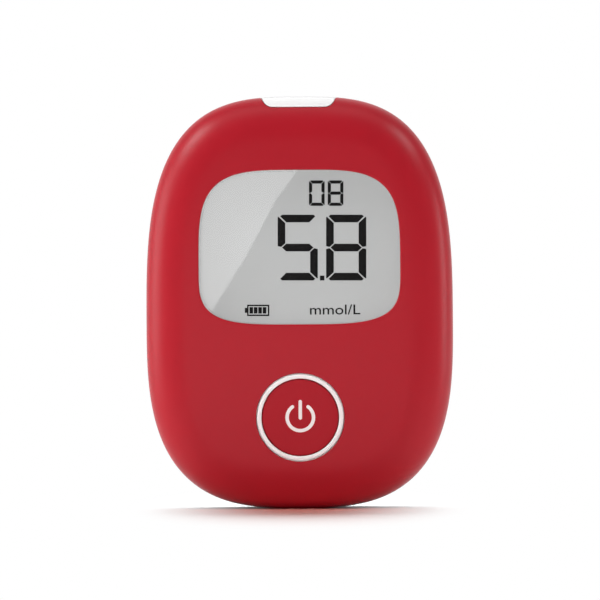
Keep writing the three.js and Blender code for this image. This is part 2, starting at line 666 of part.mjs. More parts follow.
// The raised edge of the rear cover that locates the front cover on it
function partingTongue() {
  const rootDepth = partingDepth - TONGUE_ROOT;
  const outerInset = COVER_WALL + SEAT_GAP;
  const outer = loft(bodyOutline, [
    { inset: COVER_WALL - SEAT_GAP, z: rootDepth },
    { inset: COVER_WALL - SEAT_GAP, z: partingDepth - SEAT_GAP },
    { inset: outerInset, z: partingDepth },
    { inset: outerInset, z: partingDepth + TONGUE_RISE },
  ], CAVITY_SIDES_COUNT);
  const inner = barrelPrism(
    bodyOutline,
    -(outerInset + TONGUE_WALL),
    [rootDepth - OVERRUN, partingDepth + TONGUE_RISE + OVERRUN],
    CAVITY_SIDES_COUNT,
  );
  const portHalf = NOTCH_HALF_FLOOR + NOTCH_DEPTH + NOTCH_CORNER + FIT_GAP;
  const portGap = block(
    [-portHalf, portHalf],
    [sleeveLowRow - FIT_GAP, bodyHeight],
    [partingDepth, partingDepth + TONGUE_RISE + OVERRUN],
  );
  return outer.subtract(inner).subtract(portGap);
}

// Battery well with the ledge that the battery cover rests on
function batteryWell() {
  const wellFront = wellCeilingDepth + WELL_CEILING;
  const ledgeDepth = doorInnerDepth + FIT_GAP;
  const half = wellHalfWidth + WELL_WALL;
  const ledgeHalf = doorHalfWidth + FIT_GAP + LEDGE_REACH;
  const ledge = block(
    [-ledgeHalf, ledgeHalf],
    [doorLowRow - LEDGE_REACH, doorTopRow + FIT_GAP + LEDGE_REACH],
    [COVER_WALL / 2, ledgeDepth + LEDGE_THICKNESS],
  );
  const wellRows = [WELL_LOW_ROW - WELL_WALL, wellTopRow + WELL_WALL];
  return ledge.add(block([-half, half], wellRows, [ledgeDepth, wellFront]));
}

function wellCuts() {
  const ledgeDepth = doorInnerDepth + FIT_GAP;
  const opening = roundedRectangle(
    [-doorHalfWidth - FIT_GAP, doorHalfWidth + FIT_GAP],
    [doorLowRow - FIT_GAP, doorTopRow + FIT_GAP],
    DOOR_CORNER,
  );
  const tabHalf = TAB_WIDTH / 2 + FIT_GAP;
  const tabSlots = [-TAB_COLUMN, TAB_COLUMN].map((column) => block(
    [column - tabHalf, column + tabHalf],
    [doorLowRow - TAB_REACH - TAB_THICKNESS, WELL_LOW_ROW - WELL_WALL],
    [ledgeDepth, ledgeDepth + TAB_SWING_ROOM],
  ));
  const tabNecks = [-TAB_COLUMN, TAB_COLUMN].map((column) => block(
    [column - tabHalf, column + tabHalf],
    [doorLowRow - FIT_GAP, WELL_LOW_ROW + OVERRUN],
    [0, ledgeDepth + TAB_SWING_ROOM],
  ));
  return joined([
    prism(opening, [-OVERRUN, ledgeDepth]),
    block([-wellHalfWidth, wellHalfWidth], [WELL_LOW_ROW, wellTopRow], [0, wellCeilingDepth]),
    ...tabSlots,
    ...tabNecks,
  ]);
}

// Rear cover: white shell with the battery well, the screw bosses and the ejector's runner
function rearCover() {
  const outer = rearForm(0, partingDepth);
  const inner = rearForm(COVER_WALL, partingDepth + OVERRUN, CAVITY_ROLL_STEPS_COUNT, CAVITY_SIDES_COUNT);
  const bosses = postPlaces.map(({ x, y }) => rod(BOSS_RADIUS, [COVER_WALL / 2, partingDepth], x, y));
  const slotHigh = thumbTopRow + EJECT_TRAVEL + THUMB_ROOM;
  const thumbHalf = THUMB_WIDTH / 2 + THUMB_ROOM;
  const runner = block(
    [-thumbHalf - COVER_WALL, thumbHalf + COVER_WALL],
    [thumbLowRow - THUMB_ROOM - SEAT_GAP, slotHigh],
    [COVER_WALL / 2, thumbFloorTop],
  );
  const springStop = block(
    [-SPRING_STOP_HALF_WIDTH, SPRING_STOP_HALF_WIDTH],
    [springTopRow + SEAT_GAP, springTopRow + SEAT_GAP + SPRING_STOP_THICKNESS],
    [COVER_WALL, springAxisDepth + EJECTOR_SPRING_RADIUS],
  );
  const recessRows = [thumbLowRow - THUMB_ROOM, slotHigh];
  const recess = roundedRectangle([-thumbHalf, thumbHalf], recessRows, THUMB_CORNER);
  const stemSlot = block(
    [-STEM_WIDTH / 2 - FIT_GAP, STEM_WIDTH / 2 + FIT_GAP],
    [stemRow - FIT_GAP, stemRow + STEM_LENGTH + EJECT_TRAVEL + FIT_GAP],
    [0, thumbFloorTop + OVERRUN],
  );
  const features = [batteryWell(), runner, springStop, ...bosses, partingTongue()];
  let cover = outer.subtract(inner).add(joined(features));
  cover = cover.subtract(wellCuts()).subtract(prism(recess, [-OVERRUN, THUMB_RECESS])).subtract(stemSlot);
  for (const { x, y } of postPlaces) {
    const headHole = rod(SCREW_HEAD_RADIUS + SCREW_CLEARANCE, [-OVERRUN, SCREW_SEAT_DEPTH], x, y);
    const shankHole = rod(SCREW_SHANK_RADIUS + SCREW_CLEARANCE, [0, partingDepth + OVERRUN], x, y);
    cover = cover.subtract(headHole).subtract(shankHole);
  }
  return piece("rear_cover", cover, whitePlastic);
}

// Display window: a clear plate that fills the opening, on a flange behind the cover
function displayWindow() {
  const flange = barrelPrism(windowOutline, LENS_FLANGE_REACH, [flangeBackDepth, flangeFrontDepth]);
  const plateau = loft(windowOutline, [
    { inset: SEAT_GAP, z: flangeBackDepth },
    { inset: SEAT_GAP, z: lensFrontDepth - SEAT_GAP },
    { inset: 2 * SEAT_GAP, z: lensFrontDepth },
  ], WINDOW_SIDES_COUNT);
  return piece("display_window", flange.add(plateau), clearPlastic);
}

function dustGasket() {
  const span = [gasketDepth, gasketDepth + GASKET_THICKNESS];
  const cut = [span[0] - OVERRUN, span[1] + OVERRUN];
  const outer = barrelPrism(windowOutline, GASKET_OUTER_REACH, span);
  const opening = barrelPrism(windowOutline, GASKET_INNER_REACH, cut);
  return piece("lcd_dust_gasket", outer.subtract(opening), blackFoam);
}

// Display: glass, reflector, the elastomer strips that connect it, and the frame round them
function displayStack() {
  const halfWidth = lcdWidth / 2;
  const halfHeight = lcdHeight / 2;
  const zebraRows = [-1, 1].map((side) => lcdRow + side * (halfHeight - ZEBRA_INSET));
  const panel = block(
    [-halfWidth, halfWidth],
    [lcdRow - halfHeight, lcdRow + halfHeight],
    [lcdBackDepth, lcdFrontDepth],
  );
  const reflector = block(
    [REFLECTOR_SIDE_MARGIN - halfWidth, halfWidth - REFLECTOR_SIDE_MARGIN],
    [lcdRow - halfHeight + REFLECTOR_END_MARGIN, lcdRow + halfHeight - REFLECTOR_END_MARGIN],
    [lcdBackDepth - SEAT_GAP - REFLECTOR_THICKNESS, lcdBackDepth - SEAT_GAP],
  );
  const zebras = zebraRows.map((row) => block(
    [-zebraHalfLength, zebraHalfLength],
    [row - ZEBRA_WIDTH / 2, row + ZEBRA_WIDTH / 2],
    [zebraDepth, zebraDepth + ZEBRA_HEIGHT],
  ));
  return [
    piece("lcd_panel", panel, displayGlass),
    piece("lcd_reflector", reflector, silverFoil),
    piece("zebra_connector_lower", zebras[0], greyRubber),
    piece("zebra_connector_upper", zebras[1], greyRubber),
    lcdHolder(zebraRows),
  ];
}

// Outline of the display's frame, wider than the frame by a gap
function holderShape(gap) {
  const halfWidth = lcdWidth / 2 + FIT_GAP + HOLDER_WALL + gap;
  const halfHeight = lcdHeight / 2 + FIT_GAP + HOLDER_WALL + gap;
  const rows = [lcdRow - halfHeight, lcdRow + halfHeight];
  return roundedRectangle([-halfWidth, halfWidth], rows, HOLDER_CORNER);
}

function lcdHolder(zebraRows) {
  const halfWidth = lcdWidth / 2 + FIT_GAP;
  const halfHeight = lcdHeight / 2 + FIT_GAP;
  const floorDepth = zebraDepth + HOLDER_FLOOR_RISE;
  const frame = prism(holderShape(0), [zebraDepth, lcdFrontDepth - SEAT_GAP]);
  const pocket = block(
    [-halfWidth, halfWidth],
    [lcdRow - halfHeight, lcdRow + halfHeight],
    [floorDepth + HOLDER_FLOOR, lcdFrontDepth],
  );
  const under = block(
    [-halfWidth, halfWidth],
    [lcdRow - halfHeight, lcdRow + halfHeight],
    [zebraDepth - OVERRUN, floorDepth],
  );
  const slots = zebraRows.map((row) => block(
    [-zebraHalfLength - FIT_GAP, zebraHalfLength + FIT_GAP],
    [row - ZEBRA_WIDTH / 2 - FIT_GAP, row + ZEBRA_WIDTH / 2 + FIT_GAP],
    [zebraDepth - OVERRUN, lcdFrontDepth],
  ));
  return piece("lcd_holder", frame.subtract(joined([pocket, under, ...slots])), whitePlastic);
}

// Circuit board, cut clear of the posts
function circuitBoard() {
  const span = [boardBackDepth, boardFrontDepth];
  const sheet = barrelPrism(bodyOutline, -BOARD_INSET, span, CAVITY_SIDES_COUNT);
  const rows = [BOARD_LOW_ROW, sleeveLowRow - BOARD_TO_SLEEVE];
  const limits = block([-boardHalfWidth, boardHalfWidth], rows, span);
  const cut = [boardBackDepth - OVERRUN, boardFrontDepth + OVERRUN];
  const holes = [
    ...postPlaces.map(({ x, y }) => rod(POST_RADIUS + BOARD_HOLE_CLEARANCE, cut, x, y)),
    ...boardPostPlaces.map(({ x, y }) => rod(BOARD_SHANK_RADIUS + SEAT_GAP, cut, x, y)),
  ];
  return piece("circuit_board", sheet.intersect(limits).subtract(joined(holes)), boardGreen);
}

function chip(name, side, x, row) {
  const high = boardBackDepth - SEAT_GAP;
  const half = side / 2;
  const shape = block([x - half, x + half], [row - half, row + half], [high - CHIP_HEIGHT, high]);
  return piece(name, shape, blackPlastic);
}

function clockCrystal() {
  const can = new THREE.CylinderGeometry(CRYSTAL_RADIUS, CRYSTAL_RADIUS, CRYSTAL_LENGTH, SMALL_SIDES_COUNT);
  const mesh = piece("clock_crystal", can, steel);
  mesh.position.set(-chipColumn, CRYSTAL_ROW, boardBackDepth - SEAT_GAP - CRYSTAL_RADIUS);
  return mesh;
}

function buzzer() {
  const low = boardFrontDepth + SEAT_GAP;
  const column = -boardHalfWidth * BUZZER_COLUMN_SHARE;
  const can = rod(BUZZER_RADIUS, [low, low + BUZZER_HEIGHT], column, BUZZER_ROW, ROUND_SIDES_COUNT);
  const hole = [low + BUZZER_HEIGHT / 2, low + BUZZER_HEIGHT + OVERRUN];
  return piece("buzzer", can.subtract(rod(BUZZER_HOLE_RADIUS, hole, column, BUZZER_ROW)), blackPlastic);
}

// Button: the fixed ring, the moving cap inside it, and the switch under it
function buttonRing() {
  const inner = RING_RADIUS - RING_WIDTH;
  const face = frontForm(0, frontRimDepth).translate([0, 0, RING_PROUD]);
  const flangeSpan = [flangeFrontDepth - RING_FLANGE, flangeFrontDepth];
  const wall = rod(RING_RADIUS, [flangeSpan[0], bodyThickness + OVERRUN], 0, buttonRow, ROUND_SIDES_COUNT);
  const flange = rod(RING_RADIUS + RING_FLANGE_REACH, flangeSpan, 0, buttonRow, ROUND_SIDES_COUNT);
  const bore = rod(inner, [zebraDepth, bodyThickness + 2 * OVERRUN], 0, buttonRow, ROUND_SIDES_COUNT);
  return piece("button_ring", wall.intersect(face).add(flange).subtract(bore), whitePlastic);
}

function buttonCap() {
  const radius = RING_RADIUS - RING_WIDTH - SEAT_GAP;
  const face = frontForm(0, frontRimDepth);
  const disc = rod(radius, [capLowDepth, bodyThickness + OVERRUN], 0, buttonRow, ROUND_SIDES_COUNT);
  const flangeSpan = [capLowDepth, capLowDepth + CAP_FLANGE];
  const flange = rod(radius + CAP_FLANGE_REACH, flangeSpan, 0, buttonRow, ROUND_SIDES_COUNT);
  const hollowSpan = [capLowDepth - OVERRUN, bodyThickness - CAP_DEPTH];
  const hollow = rod(radius - COVER_WALL, hollowSpan, 0, buttonRow, ROUND_SIDES_COUNT);
  const stemLow = switchFrontDepth + PLUNGER_PROUD + SEAT_GAP;
  const stem = rod(CAP_STEM_RADIUS, [stemLow, bodyThickness - CAP_DEPTH + SEAT_GAP], 0, buttonRow);
  return piece("button_cap", disc.intersect(face).add(flange).subtract(hollow).add(stem), deepRedPlastic);
}

function tactSwitch() {
  const half = SWITCH_SIDE / 2;
  const body = block(
    [-half, half],
    [buttonRow - half, buttonRow + half],
    [boardFrontDepth + SEAT_GAP, switchFrontDepth],
  );
  const low = switchFrontDepth - PLUNGER_DEPTH - BUTTON_TRAVEL - SEAT_GAP;
  const hole = rod(PLUNGER_RADIUS + SEAT_GAP, [low, switchFrontDepth + OVERRUN], 0, buttonRow);
  return piece("tact_switch", body.subtract(hole), steel);
}

function switchPlunger() {
  const span = [switchFrontDepth - PLUNGER_DEPTH, switchFrontDepth + PLUNGER_PROUD];
  return piece("switch_plunger", rod(PLUNGER_RADIUS, span, 0, buttonRow), blackPlastic);
}

// The sleeve of the strip port, wider all round by a gap
function portSleeve(gap) {
  const half = SLEEVE_HALF_WIDTH + gap;
  const reach = STRIP_CHANNEL_HEIGHT / 2 + SLEEVE_WALL + gap;
  return block(
    [-half, half],
    [sleeveLowRow - gap, notchFloorRow + NOTCH_GAP + SEAT_GAP],
    [stripDepth - reach, stripDepth + reach],
  );
}

// Strip port: white piece whose head fills the notch and whose sleeve leads to the connector
function stripPort() {
  const top = bodyHeight - PORT_BELOW_OUTLINE;
  const head = frontForm(PORT_BELOW_OUTLINE, frontRimDepth).intersect(
    prism(notchShape(NOTCH_GAP), [frontRimDepth, bodyThickness]));
  const channelHalf = { x: STRIP_CHANNEL_WIDTH / 2, z: STRIP_CHANNEL_HEIGHT / 2 };
  const mouthHalf = { x: channelHalf.x + MOUTH_FLARE, z: channelHalf.z + MOUTH_FLARE };
  const channel = flare(sleeveLowRow - OVERRUN, top + OVERRUN, stripDepth, channelHalf, channelHalf);
  const mouth = flare(top - MOUTH_LENGTH, top, stripDepth, channelHalf, mouthHalf);
  const beyond = flare(top - SEAT_GAP, top + OVERRUN, stripDepth, mouthHalf, mouthHalf);
  const openings = joined([channel, mouth, beyond]);
  return piece("strip_port", head.add(portSleeve(0)).subtract(openings), whitePlastic);
}

// Strip connector on the back of the board, with its row of sprung contacts
function stripConnector() {
  const half = CONNECTOR_WIDTH / 2;
  const high = boardBackDepth - SEAT_GAP;
  const body = block([-half, half], [connectorLowRow, connectorTopRow], [connectorBackDepth, high]);
  const channelHalf = { x: STRIP_CHANNEL_WIDTH / 2, z: STRIP_CHANNEL_HEIGHT / 2 };
  const [channelLow, channelHigh] = [connectorLowRow - OVERRUN, connectorTopRow + OVERRUN];
  const channel = flare(channelLow, channelHigh, stripDepth, channelHalf, channelHalf);
  const pocket = block(
    [-channelHalf.x, channelHalf.x],
    [connectorLowRow + CONTACT_POCKET_WALL, connectorTopRow - CONTACT_POCKET_WALL],
    [stripDepth, high + OVERRUN],
  );
  const armHalf = ARM_WIDTH / 2 + FIT_GAP;
  const armSlot = block(
    [-armHalf, armHalf],
    [connectorLowRow - OVERRUN, connectorLowRow + EJECT_TRAVEL + ARM_THICKNESS + FIT_GAP],
    [connectorBackDepth - OVERRUN, stripDepth],
  );
  return piece("strip_connector", body.subtract(joined([channel, pocket, armSlot])), blackPlastic);
}

function stripContact(name, x) {
  const low = connectorLowRow + CONTACT_POCKET_WALL + SEAT_GAP;
  const high = connectorTopRow - CONTACT_POCKET_WALL - SEAT_GAP;
  const back = boardBackDepth - 2 * SEAT_GAP;
  const dip = stripDepth + SEAT_GAP / 2;
  const bend = THREE.MathUtils.lerp(low, high, CONTACT_BEND_SHARE);
  const touch = THREE.MathUtils.lerp(low, high, CONTACT_TOUCH_SHARE);
  const profile = new THREE.Shape();
  profile.moveTo(low, back);
  profile.lineTo(low, back - CONTACT_THICKNESS);
  profile.lineTo(bend, back - CONTACT_THICKNESS);
  profile.lineTo(touch, dip);
  profile.lineTo(high, dip + 2 * CONTACT_THICKNESS);
  profile.lineTo(high, dip + 3 * CONTACT_THICKNESS);
  profile.lineTo(touch, dip + CONTACT_THICKNESS);
  profile.lineTo(bend, back);
  const leaf = new THREE.ExtrudeGeometry(profile, { depth: CONTACT_WIDTH, bevelEnabled: false });
  leaf.applyMatrix4(new THREE.Matrix4().makeBasis(
    new THREE.Vector3(0, 1, 0),
    new THREE.Vector3(0, 0, 1),
    new THREE.Vector3(1, 0, 0),
  ));
  const mesh = piece(name, leaf, goldPlate);
  mesh.position.x = x - CONTACT_WIDTH / 2;
  return mesh;
}

// Batteries and their contacts
function cell(name, x, nubUp) {
  const radius = CELL_DIAMETER / 2;
  const body = CELL_LENGTH - CELL_NUB_LENGTH;
  const profile = [
    [0, 0],
    [radius - CELL_EDGE_ROUND, 0],
    [radius, CELL_EDGE_ROUND],
    [radius, body - CELL_EDGE_ROUND],
    [radius - CELL_EDGE_ROUND, body],
    [CELL_NUB_RADIUS, body],
    [CELL_NUB_RADIUS, CELL_LENGTH],
    [0, CELL_LENGTH],
  ];
  const mesh = piece(name, turned(profile, ROUND_SIDES_COUNT), cellJacket);
  const plateTop = WELL_LOW_ROW + SEAT_GAP + CONTACT_PLATE;
  const wellEnd = wellTopRow - SEAT_GAP - CONTACT_PLATE;
  const footRow = nubUp ? wellEnd - SEAT_GAP - CELL_LENGTH : plateTop + SEAT_GAP + CELL_LENGTH;
  mesh.position.set(x, footRow, cellAxisDepth);
  mesh.rotation.x = nubUp ? 0 : Math.PI;
  return mesh;
}

function batteryContacts() {
  const half = CONTACT_PLATE_WIDTH / 2;
  const depths = [cellAxisDepth - CONTACT_PLATE_HEIGHT / 2, cellAxisDepth + CONTACT_PLATE_HEIGHT / 2];
  const lowRows = [WELL_LOW_ROW + SEAT_GAP, WELL_LOW_ROW + SEAT_GAP + CONTACT_PLATE];
  const topRows = [wellTopRow - SEAT_GAP - CONTACT_PLATE, wellTopRow - SEAT_GAP];
  const springLength = SPRING_ROOM - SPRING_WIRE - SEAT_GAP;
  const coil = () => new Coil(SPRING_TURNS_COUNT, SPRING_WIDE_RADIUS, SPRING_NARROW_RADIUS, springLength);
  const lowSpring = coilSpring("battery_spring_left", coil(), SPRING_WIRE);
  lowSpring.position.set(-cellColumn, lowRows[1] + SEAT_GAP + SPRING_WIRE / 2, cellAxisDepth);
  const topSpring = coilSpring("battery_spring_right", coil(), SPRING_WIRE);
  topSpring.position.set(cellColumn, topRows[0] - SEAT_GAP - SPRING_WIRE / 2, cellAxisDepth);
  topSpring.rotation.x = Math.PI;
  return [
    piece("bridge_contact", block([-cellColumn - half, cellColumn + half], lowRows, depths), steel),
    piece("plus_contact", block([-cellColumn - half, half - cellColumn], topRows, depths), steel),
    piece("minus_contact", block([cellColumn - half, cellColumn + half], topRows, depths), steel),
    lowSpring,
    topSpring,
  ];
}

// Battery cover: plate with two hook tabs at its foot and a snap tongue at its head
function batteryCover() {
  const outline = roundedRectangle([-doorHalfWidth, doorHalfWidth], [doorLowRow, doorTopRow], DOOR_CORNER);
  const plate = prism(outline, [DOOR_RECESS, doorInnerDepth]);
  const tabDepth = doorInnerDepth + FIT_GAP + SEAT_GAP;
  const tabNeck = [doorInnerDepth - SEAT_GAP, tabDepth + SEAT_GAP];
  const tabs = [-TAB_COLUMN, TAB_COLUMN].flatMap((column) => {
    const across = [column - TAB_WIDTH / 2, column + TAB_WIDTH / 2];
    return [
      block(across, [doorLowRow - TAB_REACH, doorLowRow + TAB_ROOT], [tabDepth, tabDepth + TAB_THICKNESS]),
      block(across, [doorLowRow + SEAT_GAP, doorLowRow + TAB_ROOT], tabNeck),
    ];
  });
  const ribs = DOOR_RIB_PLACES_SHARES.map((share) => {
    const row = THREE.MathUtils.lerp(WELL_LOW_ROW, wellTopRow, share);
    return block(
      [-wellHalfWidth + OVERRUN, wellHalfWidth - OVERRUN],
      [row - DOOR_RIB_WIDTH / 2, row + DOOR_RIB_WIDTH / 2],
      [doorInnerDepth - SEAT_GAP, doorInnerDepth + DOOR_RIB],
    );
  });
  const bump = block(
    [-TONGUE_HALF_WIDTH + OVERRUN, TONGUE_HALF_WIDTH - OVERRUN],
    [doorTopRow - SEAT_GAP, doorTopRow + SNAP_BUMP],
    [DOOR_RECESS + SNAP_BUMP_EDGE, doorInnerDepth - SNAP_BUMP_EDGE],
  );
  const slits = [-1, 1].map((side) => {
    const x = side * (TONGUE_HALF_WIDTH + TONGUE_SLIT_WIDTH / 2);
    return block(
      [x - TONGUE_SLIT_WIDTH / 2, x + TONGUE_SLIT_WIDTH / 2],
      [doorTopRow - TONGUE_SLIT_LENGTH, doorTopRow + OVERRUN],
      [0, doorInnerDepth + OVERRUN],
    );
  });
  let door = joined([plate, ...tabs, ...ribs, bump]).subtract(joined(slits));
  const poolHigh = doorTopRow - TONGUE_SLIT_LENGTH;
  const poolHalf = GRIP_BAR_LENGTH / 2 + OVERRUN;
  const pool = roundedRectangle(
    [-poolHalf, poolHalf],
    [poolHigh - (GRIP_BARS_COUNT + 1) * GRIP_BAR_PITCH, poolHigh],
    GRIP_BAR_WIDTH,
  );
  door = door.subtract(prism(pool, [0, DOOR_RECESS + GRIP_POOL_DEPTH]));
  for (let bar = 0; bar < GRIP_BARS_COUNT; bar += 1) {
    const row = poolHigh - (bar + 1) * GRIP_BAR_PITCH;
    door = door.add(block(
      [-GRIP_BAR_LENGTH / 2, GRIP_BAR_LENGTH / 2],
      [row - GRIP_BAR_WIDTH / 2, row + GRIP_BAR_WIDTH / 2],
      [DOOR_RECESS, DOOR_RECESS + GRIP_POOL_DEPTH + SEAT_GAP],
    ));
  }
  return piece("battery_cover", door, whitePlastic);
}

// Screw with its head at the back, its tip towards the front and a cross drive in its head
function screw(name, { headRadius, headHeight, shankRadius, length }, x, y, seatDepth) {
  const profile = [
    [0, -headHeight],
    [headRadius - SCREW_HEAD_EDGE, -headHeight],
    [headRadius, SCREW_HEAD_EDGE - headHeight],
    [headRadius, 0],
    [shankRadius, 0],
    [shankRadius, length - SCREW_POINT],
    [shankRadius / 2, length],
    [0, length],
  ];
  const slotReach = DRIVE_RADIUS * (headRadius / SCREW_HEAD_RADIUS);
  const slotHalf = slotReach * DRIVE_SLOT_SHARE;
  const drive = [[slotReach, slotHalf], [slotHalf, slotReach]].map(([across, along]) => (
    block([-across, across], [-headHeight - OVERRUN, DRIVE_DEPTH - headHeight], [-along, along])));
  const body = solidOf(turned(profile, SMALL_SIDES_COUNT)).subtract(joined(drive));
  const mesh = piece(name, body, steel);
  mesh.rotation.x = QUARTER_TURN;
  mesh.position.set(x, y, seatDepth);
  return mesh;
}

function housingScrews() {
  const sizes = {
    headRadius: SCREW_HEAD_RADIUS,
    headHeight: SCREW_HEAD_HEIGHT,
    shankRadius: SCREW_SHANK_RADIUS,
    length: SCREW_LENGTH,
  };
  return postPlaces.map(({ x, y }, index) => (
    screw(`housing_screw_${index + 1}`, sizes, x, y, SCREW_SEAT_DEPTH - SEAT_GAP)));
}

function boardScrews() {
  const sizes = {
    headRadius: BOARD_HEAD_RADIUS,
    headHeight: BOARD_HEAD_HEIGHT,
    shankRadius: BOARD_SHANK_RADIUS,
    length: BOARD_SCREW_LENGTH,
  };
  return boardPostPlaces.map(({ x, y }, index) => (
    screw(`board_screw_${index + 1}`, sizes, x, y, boardBackDepth - SEAT_GAP)));
}

// Strip ejector: thumb pad in the back, stem through the cover, arm into the connector, return spring
function ejectorSlider() {
  const padFront = THUMB_RECESS - SEAT_GAP;
  const padBack = padFront - THUMB_PAD;
  const half = THUMB_WIDTH / 2;
  const padOutline = roundedRectangle([-half, half], [thumbLowRow, thumbTopRow], THUMB_CORNER);
  const pad = prism(padOutline, [padBack, padFront]);
  const pitch = THUMB_LENGTH / (THUMB_RIDGES_COUNT + 1);
  const ridges = Array.from({ length: THUMB_RIDGES_COUNT }, (_, index) => {
    const row = thumbLowRow + (index + 1) * pitch;
    return block(
      [-half + THUMB_CORNER, half - THUMB_CORNER],
      [row - THUMB_RIDGE_WIDTH / 2, row + THUMB_RIDGE_WIDTH / 2],
      [padBack - THUMB_RIDGE, padBack + THUMB_RIDGE],
    );
  });
  const stem = block(
    [-STEM_WIDTH / 2, STEM_WIDTH / 2],
    [stemRow, stemRow + STEM_LENGTH],
    [padFront - SEAT_GAP, sliderFlangeDepth + SEAT_GAP],
  );
  const armHigh = connectorLowRow - ARM_GAP;
  const flangeHalf = STEM_WIDTH / 2 + SLIDER_FLANGE_REACH;
  const flange = block(
    [-flangeHalf, flangeHalf],
    [armHigh - ARM_THICKNESS, thumbTopRow],
    [sliderFlangeDepth, sliderFlangeDepth + SLIDER_FLANGE],
  );
  const arm = block(
    [-ARM_WIDTH / 2, ARM_WIDTH / 2],
    [armHigh - ARM_THICKNESS, armHigh],
    [sliderFlangeDepth, stripDepth - SEAT_GAP / 2],
  );
  const springFoot = block(
    [-flangeHalf, flangeHalf],
    [thumbTopRow - ARM_THICKNESS, thumbTopRow],
    [sliderFlangeDepth, springAxisDepth + EJECTOR_SPRING_RADIUS],
  );
  const guide = new THREE.CylinderGeometry(
    EJECTOR_GUIDE_RADIUS,
    EJECTOR_GUIDE_RADIUS,
    EJECTOR_GUIDE_LENGTH + SEAT_GAP,
    SMALL_SIDES_COUNT,
  ).translate(0, thumbTopRow + EJECTOR_GUIDE_LENGTH / 2, springAxisDepth);
  const slider = joined([pad, ...ridges, stem, flange, arm, springFoot, solidOf(guide)]);
  return piece("ejector_slider", slider, whitePlastic);
}

function ejectorSpring() {
  const length = EJECTOR_SPRING_LENGTH - EJECTOR_SPRING_WIRE;
  const coil = new Coil(EJECTOR_SPRING_TURNS_COUNT, EJECTOR_SPRING_RADIUS, EJECTOR_SPRING_RADIUS, length);
  const mesh = coilSpring("ejector_spring", coil, EJECTOR_SPRING_WIRE);
  mesh.position.set(0, springLowRow + EJECTOR_SPRING_WIRE / 2, springAxisDepth);
  return mesh;
}

// The parts in the order in which they would be laid out on a bench
const lying = new THREE.Group();
lying.add(
  frontCover(),
  buttonRing(),
  buttonCap(),
  displayWindow(),
  dustGasket(),
  ...displayStack(),
  stripPort(),
);
lying.add(
  circuitBoard(),
  chip("main_chip", MAIN_CHIP_SIDE, chipColumn, MAIN_CHIP_ROW),
  chip("analog_chip", ANALOG_CHIP_SIDE, chipColumn, ANALOG_CHIP_ROW),
  chip("memory_chip", MEMORY_CHIP_SIDE, -chipColumn, MAIN_CHIP_ROW),
  clockCrystal(),
  buzzer(),
  tactSwitch(),
  switchPlunger(),
  stripConnector(),
  stripContact("strip_contact_1", -CONTACT_OUTER_PLACE),
  stripContact("strip_contact_2", -CONTACT_INNER_PLACE),
  stripContact("strip_contact_3", CONTACT_INNER_PLACE),
  stripContact("strip_contact_4", CONTACT_OUTER_PLACE),
);
lying.add(
  rearCover(),
  cell("battery_left", -cellColumn, true),
  cell("battery_right", cellColumn, false),
  ...batteryContacts(),
  batteryCover(),
  ejectorSlider(),
  ejectorSpring(),
  ...housingScrews(),
  ...boardScrews(),
);
lying.rotation.x = QUARTER_TURN;
lying.position.y = bodyThickness / 2;

const group = new THREE.Group();
group.add(lying);

export default group;
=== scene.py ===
import math

import bmesh
import bpy
from mathutils import Matrix, Vector

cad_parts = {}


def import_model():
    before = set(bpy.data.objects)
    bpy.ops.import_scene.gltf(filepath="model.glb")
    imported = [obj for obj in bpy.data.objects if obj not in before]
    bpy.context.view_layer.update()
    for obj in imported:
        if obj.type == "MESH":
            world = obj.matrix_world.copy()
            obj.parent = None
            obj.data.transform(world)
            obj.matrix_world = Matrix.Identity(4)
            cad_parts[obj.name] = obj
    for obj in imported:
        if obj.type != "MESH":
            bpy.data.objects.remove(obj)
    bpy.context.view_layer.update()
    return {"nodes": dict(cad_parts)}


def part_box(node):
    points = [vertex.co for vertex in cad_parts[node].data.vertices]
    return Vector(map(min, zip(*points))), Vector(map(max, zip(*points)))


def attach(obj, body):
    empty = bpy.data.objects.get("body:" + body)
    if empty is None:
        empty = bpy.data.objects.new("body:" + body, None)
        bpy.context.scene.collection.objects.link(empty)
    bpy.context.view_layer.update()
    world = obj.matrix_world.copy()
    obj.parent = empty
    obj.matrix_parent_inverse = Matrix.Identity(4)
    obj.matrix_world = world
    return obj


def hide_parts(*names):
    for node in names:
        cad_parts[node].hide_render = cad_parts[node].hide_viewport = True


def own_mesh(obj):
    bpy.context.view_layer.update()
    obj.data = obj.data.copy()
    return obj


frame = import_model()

# Every shape is worked out in millimetres with the meter lying on its back: x across,
# row up the face, depth from the back to the front. at() stands it up, in metres.
MM = 0.001
THICKNESS = 22.0
HEIGHT = 86.2

# Body. An outline is widest at its row, reaches rise above it and drop below it, and
# upper and lower say how square its two halves are.
BODY = dict(half=32.1, row=38.6, rise=47.6, drop=38.6, upper=3.07, lower=2.93)
FRONT_RIM = 9.65
REAR_RIM = 9.4
BAND_TOP = 13.5
FRONT_ROLL_WIDTH = 9.5
FRONT_ROLL_HEIGHT = 7.8
CROWN = 0.7
REAR_ROLL_WIDTH = 6.0
REAR_ROLL_HEIGHT = 4.5
ROLL_POWER = 2.2
PARTING_ROUND = 0.22

# A cover's outer skin is drawn more finely than its solid: how thick the skin is, how far it
# lies outside the solid, and how far a cutter runs past what it cuts
SKIN = 1.0
GROW = 0.01
OVERRUN = 1.0

# Window and display
WINDOW = dict(half=21.0, row=50.4, rise=20.4, drop=11.8, upper=3.9, lower=3.9)
WINDOW_ROUND = 0.3
SEAT_DEPTH = 20.5
FLANGE_BACK = 19.5
FLANGE_FRONT = 20.3
FLANGE_REACH = 1.2
LENS_FRONT = 21.15
LENS_GAP = 0.2
LENS_ROUND = 0.18
LCD_BACK = 17.2
LCD_FRONT = 18.4
LCD_HALF = 22.0
LCD_ROWS = (37.6, 71.8)
LCD_EDGE = 0.2
LCD_CORNER = 0.3
LCD_CORNER_STEPS = 3
FIGURE_RISE = 0.03

